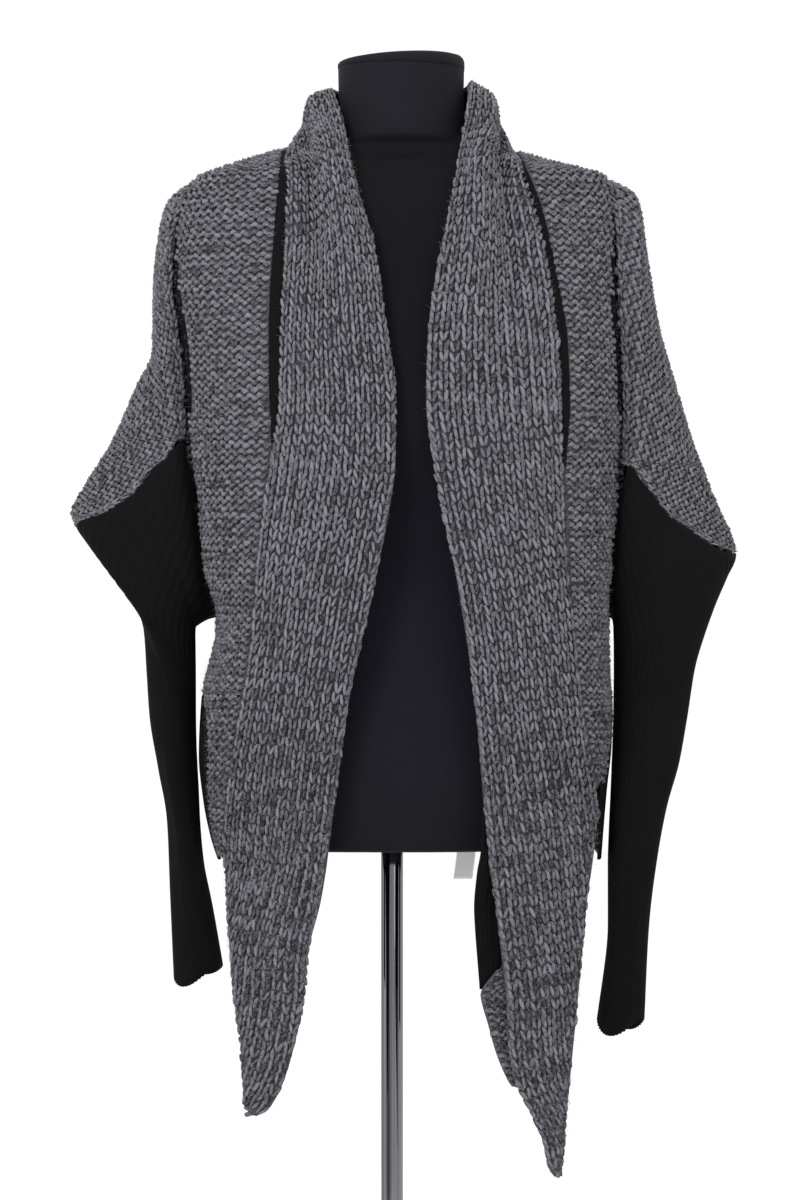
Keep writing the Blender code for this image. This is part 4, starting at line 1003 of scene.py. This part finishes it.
def band_points(side, path, shares):
    """The band's outer face, by the way along it and the share of its width from the seam."""
    near_tip = np.clip(1 + (path - NECK_Z[side] + BAND_TIP[side]) / TIP_ROUND, 0.0, 0.985)
    shares = 0.5 + (shares - 0.5) * np.sqrt(1 - near_tip**4)[:, None]
    rail = band_rail(side, path)
    table = BAND_EDGE[side]
    scale = table.key[-1] / (NECK_Z[side] - BAND_TIP[side])
    way = np.where(path > 0, path * scale, path)
    edge = np.stack([table.at(name, way) for name in "xyz"], axis=-1)
    chord = edge - rail
    along = np.gradient((rail + edge) / 2, axis=0)
    out = -unit(np.cross(along, chord)) * SIDES[side]
    shoulder = np.exp(-(((path + 0.015) / 0.045) ** 2))[:, None]
    skewed = np.clip(shares, 0, 1) ** (1 + COLLAR_LOBE[side] * shoulder)
    swell = table.at("swell", way)[:, None] * np.sin(math.pi * skewed)
    # The collar rolls over in a ridge near its free edge, with a hollow beside the seam.
    ridge = np.exp(-(((shares - 0.72) / 0.19) ** 2))
    valley = np.exp(-(((shares - 0.33) / 0.12) ** 2))
    fade = ease(shares / 0.15) * ease((1.15 - shares) / 0.15)
    rise = swell + table.at("roll", way)[:, None] * (1.25 * ridge - 0.62 * valley) * fade
    base = rail[:, None] + chord[:, None] * shares[..., None]

    # Between its two edges the band lies over the front of the body, however that curves.
    def field(points):
        turn = turn_of(side, points[..., 0], points[..., 2], "front")
        return body_point(side, turn, points[..., 2], "front")[..., 1]

    at_rail = (rail[:, 1] - field(rail))[:, None] * (1 - shares)
    at_edge = (edge[:, 1] - field(edge))[:, None] * shares**2
    over_body = field(base) + at_rail + at_edge
    follow = ease(path / 0.02) * ease((NECK_Z[side] - path - 0.90) / 0.15)
    base[..., 1] = mix(base[..., 1], over_body, follow[:, None])
    points = base + out[:, None] * rise[..., None]
    points[path <= -NECK_PATH, :, 0] = BODY_CENTRE
    return points


SEAM_TUCK = 0.09
BAND_COLUMNS = 61


def band_path(side):
    """Ways along the band at which its cloth is drawn, from the middle of the back neck."""
    long = NECK_Z[side] - BAND_TIP[side]
    return np.concatenate([np.linspace(-NECK_PATH, 0.03, 60)[:-1], np.linspace(0.03, long, 220)])


def band_cloth(side):
    """The band's face. Round the neck its sewn edge tucks in under the body's."""
    path = band_path(side)
    tucked = SEAM_TUCK * (1 - ease((path - 0.005) / 0.035))[:, None]
    shares = mix(-tucked, 1.0, np.linspace(0, 1, BAND_COLUMNS)[None])
    points = band_points(side, path, shares)
    if side == "right":
        return Cloth(points, start_column=BAND_COLUMNS - 1)
    return Cloth(points[:, ::-1])


BAND_PITCH = 0.0092
BAND_ROW = 0.0087
LEG_POINTS, LEG_CORNERS = strand(6, 5)


def knit_leg(hand):
    """One leg of a knit stitch as (across, down, out): the two legs meet below as a V."""
    way = LEG_POINTS[:, 2] * 2
    plump = 1 + 0.35 * way**2
    across = hand * BAND_PITCH * (0.240 - 0.125 * way)
    across = across + LEG_POINTS[:, 0] * BAND_PITCH * 0.37 * plump
    down = way * BAND_ROW * 0.60
    out = 0.0014 * (1 - ((way - 0.15) / 1.1) ** 2) - 0.0010 + LEG_POINTS[:, 1] * 0.0032
    return np.stack([across, down, out], axis=-1)


def plain_knit(name, cloth, places, seed):
    """Stockinette over the given places of a cloth."""
    # The left leg gets a painted highlight and the right leg painted shade.
    shapes = ((knit_leg(-1.0), 0.0, 0.09), (knit_leg(1.0), 0.0, -0.07))
    return knit(name, cloth, places, shapes, LEG_CORNERS, seed)


def edge_leg():
    """A long leg that wraps a cut or knitted edge, as thick as the cloth."""
    way = LEG_POINTS[:, 2] * 2
    across = LEG_POINTS[:, 0] * 0.0034 + 0.0006 * way
    out = LEG_POINTS[:, 1] * 0.0044 - 0.0024
    return np.stack([across, way * BAND_ROW * 0.60, out], axis=-1)


def along_edge(cloth, column, shift, pitch, first, last):
    """Places every pitch along a column of a cloth, moved across by shift, and its slant."""
    across = cloth.across[:, column] + shift
    length = np.concatenate([[0.0], np.cumsum(np.hypot(np.diff(across), np.diff(cloth.down)))])
    ways = np.arange(length[-1] * first + 0.003, length[-1] * last - 0.003, pitch)
    full = np.ones(len(ways))
    level = np.interp(ways, length, cloth.down)
    slope = np.interp(level, cloth.down, np.gradient(across, cloth.down))
    at = np.interp(ways, length, across)
    places = np.stack([at, level, np.arange(len(ways)), 0 * full, full, 0 * full])
    return places, -np.arctan(slope)


def bound_edge(name, cloth, column, shift, seed, first=0.0):
    """The row of wrapping legs along one edge of a cloth."""
    places, slant = along_edge(cloth, column, shift, BAND_ROW, first, 1.0)
    return knit(name, cloth, places, ((edge_leg(), 0.0, 0.0),), LEG_CORNERS, seed, slant)


def wrong_face(cloth, rows=slice(None)):
    """The cloth's other face, seen from behind, under the bumps of the knit's wrong side."""
    return (cloth.points - cloth.out * (KNIT_WALL - GROUND_WALL))[rows][:, ::-1]


# The wrong side of the knit shows on the hanging parts, seen from behind.
BAND_WALES = 12
EDGE_INSET = 0.0012
WRONG_SIDE_TOP_Z = 0.852
WRONG_SIDE_INSET = 0.0036
band_cloths = {side: band_cloth(side) for side in SIDES}
for side, cloth in band_cloths.items():
    on_right = side == "right"
    cloth.piece = ground("band_%s_ground" % side, cloth, band_ground)
    dress(cloth.piece, "band_" + side)
    rows = np.arange(BAND_ROW / 2 - 0.02, cloth.down[-1] + 0.03, BAND_ROW)
    corner = NECK_Z[side] - FRONT_CORNER[side].key.min()
    hold = float(np.interp(corner, band_path(side), cloth.down))
    places = spread(cloth, rows, BAND_PITCH, BAND_WALES, hold)
    free, sewn = (-1, 0) if on_right else (0, -1)
    inward = -EDGE_INSET if on_right else EDGE_INSET
    hung = cloth.points[..., 2].mean(axis=1) < WRONG_SIDE_TOP_Z
    inside = Cloth(wrong_face(cloth, hung), start_column=0 if on_right else BAND_COLUMNS - 1)
    declare(
        cloth, "hung", ["form_torso_skin", "front_%s_ground" % side],
        plain_knit("band_%s_stitches" % side, cloth, places, 21 if on_right else 22),
        bound_edge("band_%s_selvedge" % side, cloth, free, inward, 23),
        bound_edge("band_%s_hung_edge" % side, cloth, sewn, -inward, 24, hold / cloth.down[-1]),
        purl_knit(
            "band_%s_wrong_side" % side, inside, purl_places(inside, WRONG_SIDE_INSET),
            61 if on_right else 62,
        ),
        halo("band_%s_fibres" % side, cloth, 71 if on_right else 72),
    )

# ------------------------------------------------------------------ sleeves
# Wide batwing sleeves: chunky marl knit over the upper arm, then fine black rib from a
# slanted seam and the underarm down to the cuff. They hang empty beside the form.

SLEEVE = {
    "right": Sections(
        "ring outer_x outer_z inner_x inner_z half_depth middle_y",
        (0, -176, 1383, -154, 1003, 54, 0), (1, -197, 1364.5, -161, 1001.5, 63, 0),
        (2, -208.6, 1295, -166.5, 999, 67, 0), (3, -209.4, 1238.6, -170.5, 996.5, 65, 0),
        (4, -225.3, 1200.8, -174.5, 993, 61, -1), (5, -244.6, 1156.8, -175, 987, 56, -2),
        (6, -269.3, 1116.3, -174.8, 978, 50, -4), (7, -280.7, 1093, -174.6, 966, 46, -5),
        (8, -269, 1072, -174.4, 952, 44, -6), (9, -247.3, 1050.3, -174.3, 936, 42, -7),
        (10, -227, 1022.2, -174.2, 915, 40, -8), (11, -215.6, 989.6, -173.8, 893, 38, -10),
        (12, -213, 953.5, -172.8, 872, 36, -12), (13, -210.3, 914.8, -171.6, 852, 34, -14),
        (14, -202.4, 869, -170, 822, 31, -19), (15, -194.5, 823.3, -166.8, 788, 29, -22),
        (16, -191.8, 758.2, -158.5, 746, 28, -22), (17, -188.3, 677.2, -148.7, 690.5, 27, -22),
    ),
    "left": Sections(
        "ring outer_x outer_z inner_x inner_z half_depth middle_y",
        (0, 190, 1386, 190, 1003, 54, 0), (1, 214, 1371, 193.5, 1002, 63, 0),
        (2, 224, 1315, 195.5, 1000, 68, 0), (3, 233.5, 1258, 196.5, 996, 66, 0),
        (4, 246, 1213, 197, 990, 62, -1), (5, 262, 1160, 197, 982, 56, -2),
        (6, 282, 1107, 197, 970, 50, -3), (7, 301, 1060, 197, 952, 45, -4),
        (8, 292.5, 1037, 196.8, 936, 43, -5), (9, 283.4, 1016, 196.5, 922, 41, -6),
        (10, 272, 985, 196, 905, 40, -8), (11, 264, 958, 195.5, 890, 38, -10),
        (12, 256.5, 912, 194.5, 868, 36, -12), (13, 249.5, 874, 193.5, 845, 34, -14),
        (14, 238.5, 835, 192, 815, 32, -16), (15, 230, 790, 191, 782, 30, -18),
        (16, 222.6, 730, 191, 730, 28, -20), (17, 218.2, 638, 179.7, 637, 27, -20),
    ),
}
SLEEVE_SEAM = {
    "right": Sections(
        "angle ring", (0, 7.8), (20, 7.4), (45, 6.3), (60, 5.4), (68, 4.7), (75, 3.6), (84, 2.5),
        (98, 1.2), (108, 0.15),
    ),
    "left": Sections(
        "angle ring", (0, 7.1), (25, 6.9), (45, 6.5), (60, 5.9), (75, 5.1), (84, 4.2), (92, 3.1),
        (99, 2.1), (106, 1.2), (117, 0.15),
    ),
}
UPPER_SLEEVE_REACH = {"right": 108.0, "left": 117.0}


def sleeve_point(side, angle, ring):
    """A point of a sleeve's outer face. The angle runs from the top round the front."""
    table = SLEEVE[side]
    outer = np.stack([table.at("outer_x", ring), table.at("outer_z", ring)], axis=-1)
    inner = np.stack([table.at("inner_x", ring), table.at("inner_z", ring)], axis=-1)
    flat = (outer + inner) / 2 + (outer - inner) / 2 * np.cos(angle)[..., None]
    y = table.at("middle_y", ring) - table.at("half_depth", ring) * np.sin(angle)
    top = ARMHOLE_TOP_Z[side]
    height = (top + UNDERARM_Z) / 2 + (top - UNDERARM_Z) / 2 * np.cos(angle)
    start_x = BODY_EDGE[side].at("x", height)
    straight_x = mix(table.at("outer_x", 0), table.at("inner_x", 0), (1 - np.cos(angle)) / 2)
    bow = (start_x - straight_x) * (1 - ease(ring / 2.0))
    return np.stack([flat[..., 0] + bow, y, flat[..., 1]], axis=-1)


def seam_ring(side, angle):
    """Ring number at which the rib starts, for each angle round the sleeve."""
    degrees = np.degrees(np.abs(np.arctan2(np.sin(angle), np.cos(angle))))
    start = SLEEVE_SEAM[side].at("ring", degrees)
    return np.where(degrees <= UPPER_SLEEVE_REACH[side] + 1e-6, start, 0.0)


def upper_sleeve_cloth(side):
    """The grey upper sleeve's face, cut into level slices from the shoulder to the seam."""
    table = SLEEVE[side]
    tip = table.at("outer_z", seam_ring(side, np.array(0.0)))
    rows = []
    share = np.linspace(-1, 1, 97)
    fine = np.linspace(0, 1, 400)
    outer_rings = np.linspace(0, 8, 400)
    for z in np.linspace(ARMHOLE_TOP_Z[side] - 0.0015, tip + 0.0015, 120):
        last = np.interp(-z, -table.at("outer_z", outer_rings), outer_rings)

        def angle_at(ring):
            high, low = table.at("outer_z", ring), table.at("inner_z", ring)
            return np.arccos(np.clip((2 * z - high - low) / (high - low), -1.0, 1.0))

        ring = last * fine
        cut = ring > seam_ring(side, angle_at(ring)) - 0.02
        start = ring[np.flatnonzero(cut)[-1]] if cut[:-2].any() else 0.0
        ring = last - (last - start) * share**2
        turn = angle_at(ring) * np.sign(share)
        rows.append(sleeve_point(side, turn * SIDES[side] * -1, ring))
    return Cloth(np.array(rows), start_column=48)


SLEEVE_SLANT = {"right": math.radians(60), "left": math.radians(-60)}
SLANTED_INSET = 0.0020


def slanted(cloth, pitch, row_gap, slant):
    """Centres of stitches whose rows run at a slant over the cloth."""
    span = max(np.abs(cloth.across).max() * 2, cloth.down[-1] * 1.5)
    rows = np.arange(-int(span / row_gap), int(span / row_gap) + 1)
    columns = np.arange(-int(span / pitch), int(span / pitch) + 1)
    column, row = np.meshgrid(columns, rows)
    u, v = (column + 0.5) * pitch, (row + 0.5) * row_gap
    across = u * math.cos(slant) - v * math.sin(slant)
    down = u * math.sin(slant) + v * math.cos(slant)
    first, last = cloth.edges(down)
    near, far = SLANTED_INSET, cloth.down[-1] - SLANTED_INSET
    inside = (down > near) & (down < far)
    inside &= (across > first + near) & (across < last - near)
    full = np.ones(inside.sum())
    return np.stack([across[inside], down[inside], row[inside], column[inside], full, 0 * full])


# Along each armhole the seam shows as a plaited chain of stitches, standing a little proud.
CHAIN_PITCH = 0.0086
CHAIN_SHIFT = 0.0048
CHAIN_SIZE = 0.86


def chain_down(name, cloth, column, shift, seed):
    """A plaited chain of V stitches that follows one edge of a cloth."""
    places, slant = along_edge(cloth, column, shift, CHAIN_PITCH, 0.02, 0.98)
    # The left leg gets a painted highlight and the right leg painted shade.
    shapes = (
        (knit_leg(-1.0) * CHAIN_SIZE, 0.0, 0.06), (knit_leg(1.0) * CHAIN_SIZE, 0.0, -0.04),
    )
    return knit(name, cloth, places, shapes, LEG_CORNERS, seed, slant)


for side in SIDES:
    cloth = upper_sleeve_cloth(side)
    cloth.piece = ground("sleeve_upper_%s_ground" % side, cloth, marl_ground)
    dress(cloth.piece, "sleeve_upper_" + side)
    slant = SLEEVE_SLANT[side]
    places = slanted(cloth, PURL_PITCH, PURL_ROW, slant)
    column, shift = (-1, -CHAIN_SHIFT) if side == "right" else (0, CHAIN_SHIFT)
    declare(
        cloth, "hung", ["front_%s_ground" % side, "back_ground"],
        purl_knit("sleeve_upper_%s_stitches" % side, cloth, places, 31, slant),
        halo("sleeve_upper_%s_fibres" % side, cloth, 71 if side == "right" else 72),
        chain_down("armhole_%s_chain" % side, cloth, column, shift, 41),
    )

SLEEVE_RIBS = 42
COLUMNS_ACROSS_RIB = 6
RIB_RISE = 0.0011
RIB_DEPTH = RIB_WALL * 0.8


def ribbed(phase):
    """How far a rib stands out at a phase of its wave: plump ribs with narrow furrows."""
    return np.abs(np.sin(phase)) ** 0.7 - 0.4


def rib_sleeve_cloth(side):
    """The black rib sleeve's face, with its upright ribs, from the seam to the open cuff."""
    columns = SLEEVE_RIBS * COLUMNS_ACROSS_RIB
    angle = np.arange(columns) * 2 * math.pi / columns
    start = seam_ring(side, angle)
    share = np.linspace(0.004, 1.0, 130)[:, None]
    cuff = 17.0 - 0.075 * (1 + np.sin(2 * angle + 0.6))
    rings = mix(start[None], cuff[None], share)
    angles = np.broadcast_to(angle, rings.shape) * SIDES[side]
    points = sleeve_point(side, angles, rings)
    out = normals(points, True)
    rise = RIB_RISE * ribbed(angles * SLEEVE_RIBS / 2) * ease(share / 0.03)
    return Cloth(points + out * rise[..., None], closed=True)


for side in SIDES:
    cloth = rib_sleeve_cloth(side)
    cloth.piece = ground("sleeve_rib_%s_knit" % side, cloth, rib_yarn, 0.0, RIB_DEPTH)
    dress(cloth.piece, "sleeve_rib_" + side)
    declare(cloth, "hung", ["sleeve_upper_%s_ground" % side])

# ------------------------------------------------------------------ rib hem
# A deep welt of the same fine black rib closes the body below the knit. It is picked up
# round the back and both sides, and its left end hangs loose, folded in behind the band.

HEM_MIDDLE_Z = 0.824
HEM_RIBS = 118
HEM_ROWS = 30
HEM_COLUMNS = HEM_RIBS * COLUMNS_ACROSS_RIB + 1
HEM_LAP = 0.035
HEM_TUCK = 0.0026
LEFT_END_Z = 0.790


def ribs_on(cloth, count, rise=RIB_RISE, start=0.04):
    """Raises upright ribs on a cloth's face, evenly across it, flat at its top edge."""
    columns = cloth.points.shape[1]
    wave = ribbed(np.linspace(0, count * math.pi, columns))
    share = cloth.down / cloth.down[-1]
    height = rise * wave[None] * ease(share / start)[:, None]
    return Cloth(cloth.points + cloth.out * height[..., None])


def hem_cloth():
    """The hem's face, seen from behind: from the left front's corner round to the right's."""
    share = np.linspace(-1, 1, HEM_COLUMNS)
    made = []
    for part in np.linspace(-HEM_LAP, 1, HEM_ROWS):
        ring = np.empty((HEM_COLUMNS, 3))
        for side in SIDES:
            mask = share < 0 if side == "left" else share >= 0
            corner = FRONT_CORNER[side]
            if side == "right":
                steps = len(corner.key) - 1
                end_z = float(np.interp(part * steps, np.arange(steps + 1), corner.key))
                end_z += 0.1 * max(-part, 0.0)
            else:
                end_z = mix(HEM_TOP_Z, LEFT_END_Z, part)
            end_x = corner.at("x", np.clip(end_z, corner.key.min(), HEM_TOP_Z))
            end = math.pi - turn_of(side, end_x, end_z, "front")
            middle = mix(HEM_TOP_Z, HEM_MIDDLE_Z, part)
            level = mix(middle, end_z, ease(np.abs(share[mask])))
            turn = end * np.abs(share[mask])
            for face, chosen in (("back", turn <= math.pi / 2), ("front", turn > math.pi / 2)):
                at = turn[chosen] if face == "back" else math.pi - turn[chosen]
                ring[np.flatnonzero(mask)[chosen]] = body_point(side, at, level[chosen], face)
        made.append(ring)
    return Cloth(np.array(made), start_column=HEM_COLUMNS // 2)


# Its top edge laps up behind the knit, tucked in a little so that no light passes between.
hem = hem_cloth()
tuck = HEM_TUCK * (1 - ease(hem.down / hem.down[-1] / 0.07))
hem = Cloth(hem.points - hem.out * tuck[:, None, None], start_column=HEM_COLUMNS // 2)
hem = ribs_on(hem, HEM_RIBS, start=0.08)
hem.piece = ground("hem_rib_knit", hem, rib_yarn, 0.0, RIB_DEPTH)
dress(hem.piece, "hem_rib")
declare(hem, "hung", ["back_ground"])

LOOSE_HEM_REACH = Sections(
    "z reach", (855, 0.97), (805, 1.05), (785, 1.11), (735, 1.19), (682, 1.25),
)


def behind_left_band(level, shares, depth):
    """A cloth that hangs behind the left band, its face that deep behind the band's own."""
    points = band_points("left", NECK_Z["left"] - level, shares)[:, ::-1]
    face = Cloth(points)
    return Cloth(face.points - face.out * depth[:, None, None])


LOOSE_END_Z = (0.842, 0.684)
LOOSE_END_RIBS = 22
LOOSE_END_GAP = 0.0013
CORNER_GAP = 0.0024

# The loose end lies behind the band, and lower down behind the band's turned-back corner.
level = np.linspace(*LOOSE_END_Z, 60)
shares = mix(0.15, LOOSE_HEM_REACH.at("reach", level)[:, None], np.linspace(0, 1, 133))
depth = KNIT_WALL + LOOSE_END_GAP + (KNIT_WALL + CORNER_GAP) * ease((0.80 - level) / 0.05)
loose_hem = ribs_on(behind_left_band(level, shares, depth), LOOSE_END_RIBS, rise=0.0008)
loose_hem.piece = ground("hem_loose_end_knit", loose_hem, rib_yarn, 0.0, RIB_DEPTH)
dress(loose_hem.piece, "hem_loose_end_left")
declare(loose_hem, "folded", ["hem_rib_knit", "band_left_ground"])

# ------------------------------------------------------------------ turned-back corner
# The lower corner of the left band is turned back behind it, so its point shows past the
# free edge. Its wrong side faces the viewer there, and its right side shows from behind.

TURNBACK_Z = (0.745, 0.590)
TURNBACK_GAP = 0.0017
TURNBACK_REACH = Sections(
    "z reach", (745, 0.7), (705, 0.98), (678, 1.27), (650, 1.2), (606, 1.06), (585, 0.85),
)
level = np.linspace(*TURNBACK_Z, 60)
shares = mix(0.06, TURNBACK_REACH.at("reach", level)[:, None], np.linspace(0, 1, 49))
turnback = behind_left_band(level, shares, np.full(60, KNIT_WALL + TURNBACK_GAP))
turnback.piece = ground("band_turnback_ground", turnback, marl_ground)
dress(turnback.piece, "band_turnback_left")
places = purl_places(turnback)
near_point = places[0] < turnback.across.max() * 0.55
rear = Cloth(wrong_face(turnback), start_column=48)
rows = np.arange(BAND_ROW / 2, rear.down[-1], BAND_ROW)
declare(
    turnback, "folded", ["band_left_ground"],
    purl_knit("band_turnback_stitches", turnback, places[:, near_point], 51),
    plain_knit("band_turnback_right_side", rear, spread(rear, rows, BAND_PITCH), 52),
)

# ------------------------------------------------------------------ care label
# A blank white satin tape is sewn by its top edge inside the back hem and hangs free, a
# little curled. It carries no words.

LABEL_WIDTH = 0.017
LABEL_LENGTH = 0.087
LABEL_TOP_Z = 0.850
LABEL_X = 0.075
LABEL_LEAN = 0.011
LABEL_GAP = 0.0026
LABEL_WALL = 0.0005

# Woven satin: smooth, with a soft gloss broken by its picks. They are drawn 0.45 mm apart,
# coarser than real ones, so that they show.
satin = toned_finish(
    "white_label_satin", "TexWave", {"Scale": 700.0, "Distortion": 0.4}, ("#D8D3D5", "#EFEBEC"),
    settings={"bands_direction": "Z"}, Roughness=0.42,
)


def label_cloth():
    """The label's face: it leans to one side, bows forward and is hollow across."""
    level = np.linspace(0, 1, 40)[:, None]
    across = np.linspace(-0.5, 0.5, 13)[None]
    turn = turn_of("left", LABEL_X, LABEL_TOP_Z, "back")
    sewn = body_point("left", turn, np.array(LABEL_TOP_Z), "back")
    x = LABEL_X + across * LABEL_WIDTH - LABEL_LEAN * level
    z = LABEL_TOP_Z - LABEL_LENGTH * level + 0 * x
    curve = 0.003 * np.sin(level * math.pi) + 0.0008 * (1 - 4 * across**2)
    curl = 0.0006 * np.sin(level * 7.0 + across * 2.0)
    y = sewn[1] - RIB_WALL - LABEL_GAP - curve - curl
    return Cloth(np.stack([x, y, z], axis=-1))


label = label_cloth()
label.piece = ground("care_label_tape", label, satin, 0.0, LABEL_WALL)
dress(label.piece, "care_label")
declare(label, "hung", ["hem_rib_knit"])
